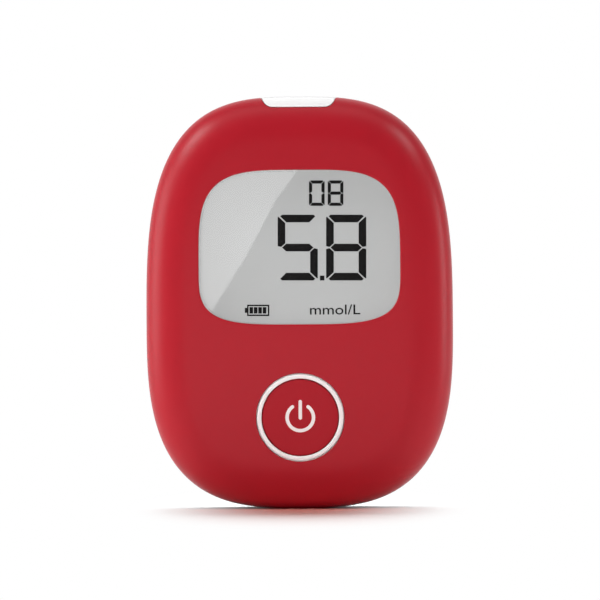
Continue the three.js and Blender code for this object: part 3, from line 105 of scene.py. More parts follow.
# Button
BUTTON_ROW = 19.2
RING_OUTER = 9.0
RING_INNER = 8.1
RING_PROUD = 0.04
RING_BACK = 19.6
RING_FLANGE = 10.2
RING_ROUND = 0.16
HOLE_GAP = 0.2
HOLE_ROUND = 0.14
CAP_RADIUS = 7.92
CAP_FLANGE = 9.05
CAP_BACK = 18.6
CAP_FLANGE_FRONT = 19.4
CAP_ROUND = 0.22
STEM_RADIUS = 1.6
STEM_BACK = 18.1

# Facets
OUTLINE_SAMPLES = 4800
BODY_SIDES = 240
WINDOW_SIDES = 160
CIRCLE_SIDES = 96
SMALL_SIDES = 48
ROLL_STEPS = 18
DOME_STEPS = 14
EDGE_STEPS = 5
CORNER_STEPS = 10
CIRCLE_POWER = 2.0
WELD = 0.0002
SHARP_ANGLE = math.radians(32)
LARGE_FACE_WEIGHT = 70

QUARTER = math.pi / 2
TURN = 2 * math.pi


def at(x, row, depth):
    return Vector((x, THICKNESS / 2 - depth, row)) * MM


# Outlines

def power(value, exponent):
    return math.copysign(abs(value) ** exponent, value)


def outline_point(shape, turn, inset):
    """A point of a closed outline of two half superellipses, moved inwards by an inset."""
    across, along = math.cos(turn), math.sin(turn)
    reach = shape["drop"] if along < 0 else shape["rise"]
    squareness = shape["lower"] if along < 0 else shape["upper"]
    x, y = power(across, 2 / squareness), power(along, 2 / squareness)
    out = (power(x, squareness - 1) / shape["half"], power(y, squareness - 1) / reach)
    normal = Vector(out).normalized()
    return shape["half"] * x - inset * normal.x, shape["row"] + reach * y - inset * normal.y


def body_share(x, row):
    """0 at the middle of the body's outline and 1 on it."""
    rise = row - BODY["row"]
    reach = BODY["drop"] if rise < 0 else BODY["rise"]
    squareness = BODY["lower"] if rise < 0 else BODY["upper"]
    return (abs(x / BODY["half"]) ** squareness + abs(rise / reach) ** squareness) ** (1 / squareness)


def face_depth(x, row):
    """How high the crowned front face is at a place."""
    return THICKNESS - CROWN * body_share(x, row) ** 2


def even_turns(shape, sides):
    """Turns that cut an outline into sides of one length."""
    samples = OUTLINE_SAMPLES
    points = [Vector(outline_point(shape, TURN * i / samples, 0)) for i in range(samples + 1)]
    lengths = [0.0]
    for a, b in zip(points, points[1:]):
        lengths.append(lengths[-1] + (b - a).length)
    turns, j = [], 0
    for i in range(sides):
        goal = lengths[-1] * i / sides
        while lengths[j + 1] < goal:
            j += 1
        part = (goal - lengths[j]) / (lengths[j + 1] - lengths[j])
        turns.append(TURN * (j + part) / samples)
    return turns


def circle(radius, row):
    return dict(half=radius, row=row, rise=radius, drop=radius, upper=CIRCLE_POWER, lower=CIRCLE_POWER)


def arc(cx, cy, radius, start, stop, steps):
    return [(cx + radius * math.cos(start + (stop - start) * i / steps),
             cy + radius * math.sin(start + (stop - start) * i / steps)) for i in range(steps + 1)]


def round_outline(cx, cy, radius, sides):
    return arc(cx, cy, radius, 0, TURN, sides)[:-1]


def rectangle(x0, y0, x1, y1):
    return [(x0, y0), (x1, y0), (x1, y1), (x0, y1)]


def rounded_rectangle(across, rows, radius, steps=CORNER_STEPS):
    x0, x1 = across[0] + radius, across[1] - radius
    y0, y1 = rows[0] + radius, rows[1] - radius
    points = []
    for quarter, (cx, cy) in enumerate(((x1, y0), (x1, y1), (x0, y1), (x0, y0)), -1):
        points += arc(cx, cy, radius, quarter * QUARTER, (quarter + 1) * QUARTER, steps)
    return points


def widened(outline, reach):
    """A closed outline moved outwards by a reach."""
    made = []
    for before, (x, row), after in zip(outline[-1:] + outline[:-1], outline, outline[1:] + outline[:1]):
        along = Vector(after) - Vector(before)
        out = Vector((along.y, -along.x)).normalized()
        made.append((x + out.x * reach, row + out.y * reach))
    return made


def quarter_round():
    """What share of a rounded edge is gone across and what share is left along at each step."""
    for step in range(EDGE_STEPS + 1):
        turn = QUARTER * step / EDGE_STEPS
        yield 1 - math.cos(turn), 1 - math.sin(turn)


# Bodies from rings of points

def ring_faces(low, high, count):
    """Faces between two rings, given by the index of their first point."""
    return [(low + i, low + (i + 1) % count, high + (i + 1) % count, high + i) for i in range(count)]


def tube_faces(rings, count, first=0):
    """Faces of a closed body through rings of points: the sides ring by ring, then both ends."""
    starts = [first + ring * count for ring in range(rings)]
    faces = []
    for low, high in zip(starts, starts[1:]):
        faces += ring_faces(low, high, count)
    faces.append(tuple(reversed(range(first, first + count))))
    faces.append(tuple(range(starts[-1], starts[-1] + count)))
    return faces


def stack(rings):
    """Points and faces of a closed body through rings of (x, row, depth) points."""
    return [point for ring in rings for point in ring], tube_faces(len(rings), len(rings[0]))


def flat_stack(steps, outline_of):
    """A closed body through (inset, depth) steps. outline_of gives the outline of an inset."""
    return stack([[(x, row, depth) for x, row in outline_of(inset)] for inset, depth in steps])


def level(inset, z, crown=0.0, shrink=1.0):
    return dict(inset=inset, z=z, crown=crown, shrink=shrink)


def level_points(shape, lv, turns):
    """One ring of a loft. A crowned level rises with the front face above its height."""
    ring = []
    for turn in turns:
        x, row = outline_point(shape, turn, lv["inset"])
        x *= lv["shrink"]
        row = shape["row"] + (row - shape["row"]) * lv["shrink"]
        lift = lv["crown"] * (1 - body_share(x, row) ** 2)
        ring.append((x, row, lv["z"] + lift))
    return ring


def domed(levels, steps):
    """The levels, and then the last one again and again, shrinking towards its middle."""
    return levels + [{**levels[-1], "shrink": 1 - step / steps} for step in range(1, steps)]


def loft(shape, levels, sides):
    """A closed body through level rings, from the lowest to the highest."""
    turns = even_turns(shape, sides)
    return stack([level_points(shape, lv, turns) for lv in levels])


def band(shape, levels, sides):
    """A closed ring whose cross-section is the list of levels."""
    turns = even_turns(shape, sides)
    points = [point for lv in levels for point in level_points(shape, lv, turns)]
    starts = [ring * sides for ring in range(len(levels))]
    pairs = zip(starts, starts[1:] + starts[:1])
    return points, [face for low, high in pairs for face in ring_faces(low, high, sides)]


def prism(outline, low, high):
    """A straight body over a closed list of (x, row) that runs anticlockwise."""
    return stack([[(x, row, depth) for x, row in outline] for depth in (low, high)])


def slab(across, rows, depths):
    return prism(rectangle(across[0], rows[0], across[1], rows[1]), *depths)


def turned_body(profile, sides):
    """A body of revolution about the depth axis, from (radius, depth) points, lowest depth first."""
    return flat_stack(profile, lambda radius: round_outline(0, 0, radius, sides))


# Objects

def linked(name, data):
    obj = bpy.data.objects.new(name, data)
    bpy.context.scene.collection.objects.link(obj)
    return obj


def linked_mesh(name, points, faces):
    """An object from points in metres and faces."""
    mesh = bpy.data.meshes.new(name)
    mesh.from_pydata(points, [], faces)
    mesh.update()
    return linked(name, mesh)


def build(name, shape_data):
    """An object from millimetre points and faces."""
    points, faces = shape_data
    return linked_mesh(name, [at(*p) for p in points], faces)


def copy_of(node, name):
    """The solid of a CAD node as a new object, with its corners joined up again."""
    mesh = frame["nodes"][node].data.copy()
    mesh.name = name
    mesh.materials.clear()
    work = bmesh.new()
    work.from_mesh(mesh)
    bmesh.ops.remove_doubles(work, verts=work.verts, dist=WELD * MM)
    work.to_mesh(mesh)
    work.free()
    if "custom_normal" in mesh.attributes:
        mesh.attributes.remove(mesh.attributes["custom_normal"])
    return linked(name, mesh)


def moved(obj, x, row, depth):
    obj.data.transform(Matrix.Translation(at(x, row, depth) - at(0, 0, 0)))
    return obj


def combine(obj, others, operation):
    """Joins, cuts or intersects with each other object in turn, and removes those."""
    for other in others:
        tool = obj.modifiers.new("combine", "BOOLEAN")
        tool.operation = operation
        tool.solver = "MANIFOLD"
        tool.object = other
    bpy.context.view_layer.update()
    made = bpy.data.meshes.new_from_object(obj.evaluated_get(bpy.context.evaluated_depsgraph_get()))
    obj.modifiers.clear()
    old = obj.data
    obj.data = made
    made.name = obj.name
    bpy.data.meshes.remove(old)
    for other in others:
        mesh = other.data
        bpy.data.objects.remove(other)
        bpy.data.meshes.remove(mesh)


def join(obj, others):
    combine(obj, others, "UNION")


def cut(obj, others):
    combine(obj, others, "DIFFERENCE")


def trim(obj, other):
    combine(obj, [other], "INTERSECT")


def shade(obj):
    """Smooth shading with crisp edges past an angle, led by the large faces."""
    mesh = obj.data
    mesh.polygons.foreach_set("use_smooth", [True] * len(mesh.polygons))
    mesh.set_sharp_from_angle(angle=SHARP_ANGLE)
    even = obj.modifiers.new("normals", "WEIGHTED_NORMAL")
    even.keep_sharp = True
    even.weight = LARGE_FACE_WEIGHT
    return obj


def dress(obj, material, body, slot, *replaced):
    """Gives a finished piece its material and its body, and hides the nodes that it stands for. The slot
    is not used.
    """
    obj.data.materials.clear()
    obj.data.materials.append(material)
    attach(obj, body)
    if replaced:
        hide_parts(*replaced)


# Materials. A mix names several sockets alike, so these go by number.
MIX_COLOURS = (6, 7)
MIX_COLOUR = 2
MIX_NUMBERS = (2, 3)
NOISE_SHARES = (0.3, 0.7)
CLOUD_SCALE = 90.0
GRAIN_DETAIL = 3.0
GRAIN_ROUGHNESS = 0.6
ROUGHNESS_SPREAD = 0.05


def new_material(name):
    material = bpy.data.materials.new(name)
    material.use_nodes = True
    tree = material.node_tree
    return material, tree, tree.nodes["Principled BSDF"]


def bare_material(name):
    material, tree, _ = new_material(name)
    tree.nodes.clear()
    return material, tree


def fill(node, values):
    """Gives sockets of a node their values, which are constants or outputs of other nodes."""
    for socket, value in values.items():
        if isinstance(value, bpy.types.NodeSocket):
            node.id_data.links.new(value, node.inputs[socket])
        else:
            node.inputs[socket].default_value = value


def add(tree, kind, values=None, **settings):
    """A new node with its settings and the values of its sockets."""
    node = tree.nodes.new(kind)
    for name, value in settings.items():
        setattr(node, name, value)
    fill(node, values or {})
    return node


def noise(tree, scale, detail=2.0, roughness=0.5):
    place = add(tree, "ShaderNodeTexCoord").outputs["Object"]
    values = {"Vector": place, "Scale": scale, "Detail": detail, "Roughness": roughness}
    return add(tree, "ShaderNodeTexNoise", values).outputs["Fac"]


def spread(tree, source, low, high, ends=NOISE_SHARES):
    """Maps what runs between two ends, a noise if nothing else is said, to a range."""
    values = {"Value": source, "From Min": ends[0], "From Max": ends[1], "To Min": low, "To Max": high}
    return add(tree, "ShaderNodeMapRange", values).outputs["Result"]


def mixed(tree, factor, low, high):
    values = {"Factor": factor, MIX_COLOURS[0]: (*low, 1), MIX_COLOURS[1]: (*high, 1)}
    return add(tree, "ShaderNodeMix", values, data_type="RGBA").outputs[MIX_COLOUR]


def bump(tree, height, distance):
    values = {"Height": height, "Distance": distance * MM, "Strength": 1.0}
    return add(tree, "ShaderNodeBump", values).outputs["Normal"]


def grained(name, colour, roughness, grain=3000.0, height=0.004, gloss=0.5, variation=0.04, metallic=0.0):
    """Moulded or plated surface: fine grain, slight unevenness in its colour and its roughness."""
    material, tree, shader = new_material(name)
    tint = [tuple(c * (1 + side * variation) for c in colour) for side in (-1, 1)]
    fine = noise(tree, grain, GRAIN_DETAIL, GRAIN_ROUGHNESS)
    fill(shader, {
        "Base Color": mixed(tree, noise(tree, CLOUD_SCALE), *tint),
        "Roughness": spread(tree, fine, roughness - ROUGHNESS_SPREAD, roughness + ROUGHNESS_SPREAD),
        "Metallic": metallic,
        "Specular IOR Level": gloss,
        "Normal": bump(tree, fine, height),
    })
    return material


RED = grained("red_soft_touch", (0.41, 0.0115, 0.022), roughness=0.37, gloss=0.22, variation=0.02)
DEEP_RED = grained("red_satin", (0.40, 0.011, 0.021), roughness=0.4, gloss=0.18, variation=0.02)
WHITE = grained("white_fine_matte", (0.75, 0.75, 0.74), roughness=0.42, variation=0.012)
WHITE_SMOOTH = grained("white_smooth", (0.92, 0.92, 0.92), roughness=0.22, height=0.001, variation=0.005)
PRINT_WHITE = grained("white_print", (0.93, 0.92, 0.91), roughness=0.5, height=0.002, variation=0.01)
FRAME_WHITE = grained("white_frame", (0.8, 0.8, 0.78), roughness=0.5)
BLACK = grained("black_plastic", (0.012, 0.012, 0.014), roughness=0.45)
FOAM = grained("black_foam", (0.016, 0.017, 0.018), roughness=0.9, grain=2400.0, height=0.05, gloss=0.2)
ELASTOMER = grained("grey_elastomer", (0.26, 0.27, 0.28), roughness=0.7, grain=2000.0)
FOIL = grained("reflector_foil", (0.58, 0.6, 0.61), roughness=0.35, metallic=0.8)
PLATING = dict(roughness=0.26, grain=1600.0, height=0.002, metallic=1.0)
STEEL = grained("nickel_plate", (0.6, 0.6, 0.6), **PLATING)
GOLD = grained("gold_plate", (0.72, 0.47, 0.16), **PLATING)

BOARD_GREENS = ((0.006, 0.08, 0.035), (0.014, 0.13, 0.06))
BOARD_WEAVE = dict(scale=1800.0, detail=4.0, roughness=0.7)
BOARD_WEAVE_HEIGHT = 0.01


def board_material():
    material, tree, shader = new_material("green_board")
    weave = noise(tree, **BOARD_WEAVE)
    fill(shader, {
        "Base Color": mixed(tree, weave, *BOARD_GREENS),
        "Roughness": 0.35,
        "Normal": bump(tree, weave, BOARD_WEAVE_HEIGHT),
    })
    return material


LCD_GREYS = ((0.304, 0.304, 0.304), (0.314, 0.314, 0.314))
# How strongly the display glows: painted light that evens out the shade in the window's recess.
LCD_PAINTED_GLOW = 0.9
LCD_PEARL_SCALE = 2600.0
LCD_PEARL_HEIGHT = 0.002


def lcd_material():
    """Matte grey polariser over a pearly reflector. It also glows in its own grey, a painted glow that
    stands in for light and evens out the shade the window's recess casts on it.
    """
    material, tree, shader = new_material("lcd_polariser")
    pearl = noise(tree, LCD_PEARL_SCALE)
    grey = mixed(tree, pearl, *LCD_GREYS)
    fill(shader, {
        "Base Color": grey,
        # The grey also glows: painted light in place of light that the recess keeps off.
        "Emission Color": grey,
        "Emission Strength": LCD_PAINTED_GLOW,
        "Roughness": 0.55,
        "Specular IOR Level": 0.2,
        "Normal": bump(tree, pearl, LCD_PEARL_HEIGHT),
    })
    return material


FIGURE_BLACKS = ((0.004, 0.0035, 0.0037), (0.0065, 0.005, 0.0055))
FIGURE_SCALE = 900.0


def figure_material():
    material, tree, shader = new_material("lcd_figures")
    black = mixed(tree, noise(tree, FIGURE_SCALE), *FIGURE_BLACKS)
    fill(shader, {"Base Color": black, "Roughness": 0.6, "Specular IOR Level": 0.1})
    return material


LENS_TINT = (0.985, 0.995, 0.99)
LENS_INDEX = 1.49
LENS_POLISH_SCALE = 60.0
LENS_ROUGHNESS = (0.0, 0.02)


def lens_material():
    """Clear acrylic with the faint unevenness of a polished moulding."""
    material, tree, shader = new_material("clear_acrylic")
    polish = spread(tree, noise(tree, LENS_POLISH_SCALE), *LENS_ROUGHNESS)
    fill(shader, {
        "Base Color": (*LENS_TINT, 1),
        "Transmission Weight": 1.0,
        "IOR": LENS_INDEX,
        "Roughness": polish,
    })
    return material


CELL_COLOURS = ((0.03, 0.09, 0.17), (0.62, 0.64, 0.66))
CELL_BAND_SHARES = (0.0, 0.26, 0.29, 0.76, 0.79)
CELL_SLEEVE_ROWS = (13.0, 61.0)
CELL_GRAIN_SCALE = 2200.0
CELL_ROUGHNESS = (0.3, 0.34)


def cell_material():
    """Dark blue metallic sleeve with two pale bands round the cell."""
    material, tree, shader = new_material("cell_sleeve")
    place = add(tree, "ShaderNodeTexCoord").outputs["Object"]
    along = add(tree, "ShaderNodeSeparateXYZ", {"Vector": place}).outputs["Z"]
    rows = [row * MM for row in CELL_SLEEVE_ROWS]
    ramp = add(tree, "ShaderNodeValToRGB", {"Fac": spread(tree, along, 0, 1, rows)})
    ramp.color_ramp.interpolation = "CONSTANT"
    for index, share in enumerate(CELL_BAND_SHARES):
        stop = ramp.color_ramp.elements.new(share) if index else ramp.color_ramp.elements[0]
        stop.position = share
        stop.color = (*CELL_COLOURS[index % 2], 1)
    rough = spread(tree, noise(tree, CELL_GRAIN_SCALE), *CELL_ROUGHNESS)
    fill(shader, {"Base Color": ramp.outputs["Color"], "Roughness": rough, "Metallic": 0.4})
    return material


BOARD = board_material()
LCD = lcd_material()
FIGURES = figure_material()
LENS = lens_material()
CELL = cell_material()


# Body shells

def roll_shares():
    """How far a rounded edge has gone inwards and upwards at each step."""
    for step in range(ROLL_STEPS + 1):
        turn = QUARTER * step / ROLL_STEPS
        yield 1 - abs(math.cos(turn)) ** (2 / ROLL_POWER), math.sin(turn) ** (2 / ROLL_POWER)


def front_form(inset, low):
    """The front surface as a closed body, moved inwards by an inset."""
    levels = [level(inset, low)]
    for inwards, upwards in roll_shares():
        levels.append(level(inset + (FRONT_ROLL_WIDTH - inset) * inwards,
                            BAND_TOP + (FRONT_ROLL_HEIGHT - inset) * upwards, CROWN * upwards))
    return loft(BODY, domed(levels, DOME_STEPS), BODY_SIDES)


def rear_form(inset, high):
    """The back surface as a closed body, moved inwards by an inset."""
    levels = []
    for inwards, upwards in reversed(list(roll_shares())):
        levels.append(level(inset + (REAR_ROLL_WIDTH - inset) * inwards,
                            REAR_ROLL_HEIGHT - (REAR_ROLL_HEIGHT - inset) * upwards))
    levels.append(level(inset, high))
    return loft(BODY, levels, BODY_SIDES)


def mouth(shape, edge, sides):
    """A cutter for an opening in the front face whose outer edge is rounded."""
    levels = [level(-GROW, SEAT_DEPTH - OVERRUN)]
    for gone, left in quarter_round():
        levels.append(level(-GROW - edge * gone, THICKNESS - CROWN - GROW / 2 - edge * left, CROWN))
    levels.append(level(-GROW - edge, THICKNESS + OVERRUN))
    return loft(shape, levels, sides)


def back_mouth(outline, high, edge):
    """A cutter for an opening in the flat back whose outer edge is rounded, from (x, row) points."""
    steps = [(edge, -OVERRUN)]
    steps += [(edge * left, edge * gone - GROW) for gone, left in quarter_round()]
    steps.append((0.0, high))
    return flat_stack(steps, lambda reach: widened(outline, reach + GROW))


def rim_round(rim, side):
    """A band that takes the corner off a shell's edge at the parting line. side is 1 above, -1 below."""
    corner = [level(-OVERRUN, rim - side * OVERRUN), level(PARTING_ROUND, rim - side * OVERRUN)]
    for step, (gone, left) in enumerate(quarter_round()):
        past = 2 * GROW if step == EDGE_STEPS else 0
        corner.append(level(PARTING_ROUND * left - past, rim + side * PARTING_ROUND * gone))
    corner.append(level(-OVERRUN, rim + side * PARTING_ROUND))
    return band(BODY, corner if side > 0 else list(reversed(corner)), BODY_SIDES)


# Notch
NOTCH_HALF = 5.4
NOTCH_DEPTH = 2.3
NOTCH_CORNER = 0.5
NOTCH_ARC_SHARE = 0.8
NOTCH_ARC_STEPS = 12
NOTCH_CURVE_STEPS = 8
NOTCH_GAP = 0.12
PORT_INSET = 0.1
CHANNEL_HALF = (3.8, 0.5)
MOUTH_FLARE = 0.8
MOUTH_POWER = 1.6
MOUTH_LENGTH = 2.4
STRIP_DEPTH = 12.2
SLEEVE_LOW = 79.5
CORNERS = ((-1, 1), (1, 1), (1, -1), (-1, -1))


def notch_outline(gap):
    """The notch in the top edge, filled by the strip port with a gap all round."""
    radius, stop = NOTCH_DEPTH - gap, QUARTER * (1 - NOTCH_ARC_SHARE)
    right = arc(NOTCH_HALF, HEIGHT, radius, -QUARTER, -stop, NOTCH_ARC_STEPS)
    start = Vector(right[-1])
    control = Vector((NOTCH_HALF + radius, HEIGHT - NOTCH_CORNER))
    end = Vector((NOTCH_HALF + radius + NOTCH_CORNER, HEIGHT))
    for step in range(1, NOTCH_CURVE_STEPS + 1):
        t = step / NOTCH_CURVE_STEPS
        p = start * (1 - t) ** 2 + control * 2 * t * (1 - t) + end * t ** 2
        right.append((p.x, p.y))
    right.append((end.x, HEIGHT + NOTCH_DEPTH))
    return right + [(-x, row) for x, row in reversed(right)]


def strip_channel():
    """A cutter for the strip's channel, whose mouth widens upwards."""
    top = HEIGHT - PORT_INSET
    steps = [(SLEEVE_LOW - OVERRUN, 0), (top - MOUTH_LENGTH, 0)]
    for step in range(1, EDGE_STEPS + 1):
        t = step / EDGE_STEPS
        steps.append((top - MOUTH_LENGTH * (1 - t), MOUTH_FLARE * t ** MOUTH_POWER))
    steps.append((top + OVERRUN, MOUTH_FLARE))
    rings = []
    for row, wider in steps:
        half, deep = (size + wider + GROW for size in CHANNEL_HALF)
        rings.append([(sx * half, row, STRIP_DEPTH + sz * deep) for sx, sz in CORNERS])
    return stack(rings)


def front_cover():
    shell = build("red_front_cover", front_form(-GROW, FRONT_RIM))
    cut(shell, [build("inner", front_form(SKIN, FRONT_RIM - OVERRUN))])
    join(shell, [copy_of("front_cover", "solid")])
    cut(shell, [
        build("window_cut", mouth(WINDOW, WINDOW_ROUND, WINDOW_SIDES)),
        build("ring_cut", mouth(circle(RING_OUTER + HOLE_GAP, BUTTON_ROW), HOLE_ROUND, CIRCLE_SIDES)),
        build("notch_cut", prism(notch_outline(0), FRONT_RIM - OVERRUN, THICKNESS)),
        build("rim_cut", rim_round(FRONT_RIM, 1)),
    ])
    dress(shade(shell), RED, "housing", "red_cover", "front_cover")


def strip_port():
    """The white port that fills the notch."""
    head = build("strip_port_shroud", front_form(PORT_INSET - GROW, FRONT_RIM))
    trim(head, build("notch_part", prism(notch_outline(NOTCH_GAP), FRONT_RIM - OVERRUN, THICKNESS)))
    join(head, [copy_of("strip_port", "solid")])
    cut(head, [build("channel", strip_channel())])
    dress(shade(head), WHITE_SMOOTH, "housing", "white_shell", "strip_port")


# Window, ring and cap

def display_window():
    flange = [(-FLANGE_REACH, FLANGE_BACK), (-FLANGE_REACH, FLANGE_FRONT), (LENS_GAP, FLANGE_FRONT)]
    levels = [level(*step) for step in flange]
    for gone, left in quarter_round():
        levels.append(level(LENS_GAP + LENS_ROUND * gone, LENS_FRONT - LENS_ROUND * left))
    lens = build("clear_display_window", loft(WINDOW, levels, WINDOW_SIDES))
    lens.visible_shadow = False
    dress(shade(lens), LENS, "housing", "clear_window", "display_window")


def edge_levels(edge, top):
    """Levels of a rounded outer edge that ends on the front face."""
    return [level(edge * gone, top - edge * left, CROWN) for gone, left in quarter_round()]


def button_ring():
    width, flange = RING_OUTER - RING_INNER, RING_OUTER - RING_FLANGE
    outer = edge_levels(RING_ROUND, THICKNESS - CROWN + RING_PROUD)
    inner = [{**lv, "inset": width - lv["inset"]} for lv in reversed(outer)]
    foot = [(width, RING_BACK), (flange, RING_BACK), (flange, FLANGE_FRONT), (0, FLANGE_FRONT)]
    levels = [level(*step) for step in foot] + outer + inner
    ring = build("white_button_ring", band(circle(RING_OUTER, BUTTON_ROW), levels, CIRCLE_SIDES))
    dress(shade(ring), WHITE_SMOOTH, "housing", "white_ring", "button_ring")


def button_cap():
    flange = CAP_RADIUS - CAP_FLANGE
    levels = [level(flange, CAP_BACK), level(flange, CAP_FLANGE_FRONT), level(0, CAP_FLANGE_FRONT)]
    levels = domed(levels + edge_levels(CAP_ROUND, THICKNESS - CROWN), EDGE_STEPS)
    cap = build("red_button_cap", loft(circle(CAP_RADIUS, BUTTON_ROW), levels, CIRCLE_SIDES))
    stem_levels = [level(0, STEM_BACK), level(0, CAP_BACK + OVERRUN)]
    join(cap, [build("stem", loft(circle(STEM_RADIUS, BUTTON_ROW), stem_levels, SMALL_SIDES))])
    dress(shade(cap), DEEP_RED, "button", "red_button", "button_cap")


# Power mark on the cap
MARK_RADIUS = 2.75
MARK_STROKE = 0.72
MARK_GAP = math.radians(36)
MARK_BAR = (-0.1, 3.3)
MARK_RISE = 0.025
MARK_STEPS = 64
MARK_END_STEPS = 8


def face_print(name, outlines, rise, depth_of):
    """Thin raised print from closed (x, row) outlines, following a surface."""
    points, faces = [], []
    for outline in outlines:
        faces += tube_faces(2, len(outline), len(points))
        for lift in (-rise, rise):
            points += [(x, row, depth_of(x, row) + lift) for x, row in outline]
    return build(name, (points, faces))


def power_mark():
    """An open circle with an upright bar in its gap, in short pieces that follow the crown."""
    half = MARK_STROKE / 2
    start, stop = QUARTER + MARK_GAP, QUARTER + TURN - MARK_GAP
    first, last = arc(0, BUTTON_ROW, MARK_RADIUS, start, stop, 1)
    outer = arc(0, BUTTON_ROW, MARK_RADIUS + half, start, stop, MARK_STEPS)
    inner = arc(0, BUTTON_ROW, MARK_RADIUS - half, start, stop, MARK_STEPS)
    last_end = arc(*last, half, stop, stop + math.pi, MARK_END_STEPS)
    first_end = arc(*first, half, start + math.pi, start + TURN, MARK_END_STEPS)
    curve = outer + last_end[1:-1] + list(reversed(inner)) + first_end[1:-1]
    low, high = (BUTTON_ROW + end for end in MARK_BAR)
    bar = arc(0, low, half, math.pi, TURN, MARK_END_STEPS) + arc(0, high, half, 0, math.pi, MARK_END_STEPS)
    mark = face_print("button_power_mark", [curve, bar], MARK_RISE, face_depth)
    dress(mark, PRINT_WHITE, "button", "white_ring")


# Figures on the display, from their places in the photograph in pixels
PHOTO_SCALE = 0.2095
PHOTO_FOOT = 508.0
PHOTO_TOP_MIDDLE = 298.4
PHOTO_TOP = 97.0
PHOTO_LEAN = 0.00584


def photo_place(px, py):
    """The place on the face of a pixel, with the lean of the photograph taken out."""
    across = px - PHOTO_TOP_MIDDLE - (py - PHOTO_TOP) * PHOTO_LEAN
    return across * PHOTO_SCALE, (PHOTO_FOOT - py - across * PHOTO_LEAN) * PHOTO_SCALE


# A digit's size, the stroke and the cut tips of its segments, and the slot between them
BIG_DIGIT = dict(width=40.0, height=65.5, stroke=7.6, tip=1.9, slot=0.55)
SMALL_DIGIT = dict(width=15.6, height=25.4, stroke=3.2, tip=0.9, slot=0.15)
TIP_SLOPE_SHARE = 0.82
BAR_SLOT_SHARE = 1.6
POST_SLOT_SHARES = dict(
    outer_head=1.4, inner_head=1.2, inner_foot=0.9, toe_side=0.5, toe=1.1, outer_foot=2.6,
)


def flipped(outline, height):
    return [(x, height - y) for x, y in outline]


def mirrored(outline, width):
    return [(width - x, y) for x, y in outline]


def upper_bar(w, s, tip, slot):
    low, inner = tip * TIP_SLOPE_SHARE, s + slot * BAR_SLOT_SHARE
    return [(tip + slot, low), (tip * 2 + slot, 0), (w - tip * 2 - slot, 0), (w - tip - slot, low),
            (w - inner, s), (inner, s)]


def middle_bar(w, mid, s, slot):
    inner = s + slot * BAR_SLOT_SHARE
    return [(s / 2 + slot, mid), (inner, mid - s / 2), (w - inner, mid - s / 2),
            (w - s / 2 - slot, mid), (w - inner, mid + s / 2), (inner, mid + s / 2)]


def upper_post(mid, s, tip, slot):
    gap = {name: slot * share for name, share in POST_SLOT_SHARES.items()}
    return [(0, tip * TIP_SLOPE_SHARE + gap["outer_head"]), (tip / 2, tip * TIP_SLOPE_SHARE + slot),
            (s, s + gap["inner_head"]), (s, mid - s / 2 - gap["inner_foot"]),
            (s / 2 - gap["toe_side"], mid - gap["toe"]), (0, mid - gap["outer_foot"])]


def segments(kind, off):
    """Outlines of a digit's segments but those that are off, in pixels from its upper left corner."""
    w, h, s, tip, slot = kind.values()
    bar, post = upper_bar(w, s, tip, slot), upper_post(h / 2, s, tip, slot)
    shapes = {
        "top": bar, "bottom": flipped(bar, h), "middle": middle_bar(w, h / 2, s, slot),
        "upper_left": post, "upper_right": mirrored(post, w),
        "lower_left": flipped(post, h), "lower_right": flipped(mirrored(post, w), h),
    }
    return [outline for name, outline in shapes.items() if name not in off]


# The digits' sizes, segments that are off and upper left corners: a 5 and an 8, then a small 0 and 8
DIGITS = [
    (BIG_DIGIT, ("upper_right", "lower_left"), 277.7, 214.6),
    (BIG_DIGIT, (), 326.0, 214.6),
    (SMALL_DIGIT, ("middle",), 308.9, 180.4),
    (SMALL_DIGIT, (), 327.6, 180.4),
]
POINT_BOX = (319.8, 275.3, 324.3, 280.1)
ICON_BOX = (247.2, 304.3, 269.4, 315.6)
ICON_LINE = 1.5
ICON_NUB = (245.0, 307.4, 247.4, 312.4)
ICON_BAR = (249.6, 306.7, 253.2, 313.1)
ICON_BAR_PITCH = 4.4
ICON_BAR_COUNT = 4
UNIT_BOX = (309.9, 303.9, 360.1, 314.3)
UNIT_BOLDNESS = 0.006
UNIT_CURVE_STEPS = 4
UNIT_DEPTH = 1.0


def shifted(outline, left, top):
    return [(left + x, top + y) for x, y in outline]


def battery_icon():
    """A cell with its nub, four bars and a frame of four lines."""
    bar = rectangle(*ICON_BAR)
    (x0, y0, x1, y1), line = ICON_BOX, ICON_LINE
    sides = ((x0, y0, x1, y0 + line), (x0, y1 - line, x1, y1),
             (x0, y0 + line, x0 + line, y1 - line), (x1 - line, y0 + line, x1, y1 - line))
    return [rectangle(*ICON_NUB), *(shifted(bar, ICON_BAR_PITCH * i, 0) for i in range(ICON_BAR_COUNT)),
            *(rectangle(*side) for side in sides)]


def anticlockwise(outline):
    area = sum(a[0] * b[1] - b[0] * a[1] for a, b in zip(outline, outline[1:] + outline[:1]))
    return outline if area > 0 else list(reversed(outline))


def lcd_figures():
    outlines = []
    for kind, off, left, top in DIGITS:
        outlines += [shifted(one, left, top) for one in segments(kind, off)]
    outlines += [rectangle(*POINT_BOX), *battery_icon()]
    placed = [anticlockwise([photo_place(*p) for p in one]) for one in outlines]
    figures = face_print("lcd_figures", placed, FIGURE_RISE, lambda x, row: LCD_FRONT)
    dress(figures, FIGURES, "housing", "black_plastic")


def unit_letters():
    """The unit as a mesh of thin plain letters."""
    text = bpy.data.curves.new("unit", "FONT")
    text.body = "mmol/L"
    text.extrude = UNIT_DEPTH
    text.resolution_u = UNIT_CURVE_STEPS
    text.offset = UNIT_BOLDNESS
    holder = linked("unit", text)
    bpy.context.view_layer.update()
    mesh = bpy.data.meshes.new_from_object(holder)
    bpy.data.objects.remove(holder)
    return mesh


def rescaled(value, values, low, high):
    """Moves a value from the range of the values to the one from low to high."""
    return low + (value - min(values)) / (max(values) - min(values)) * (high - low)


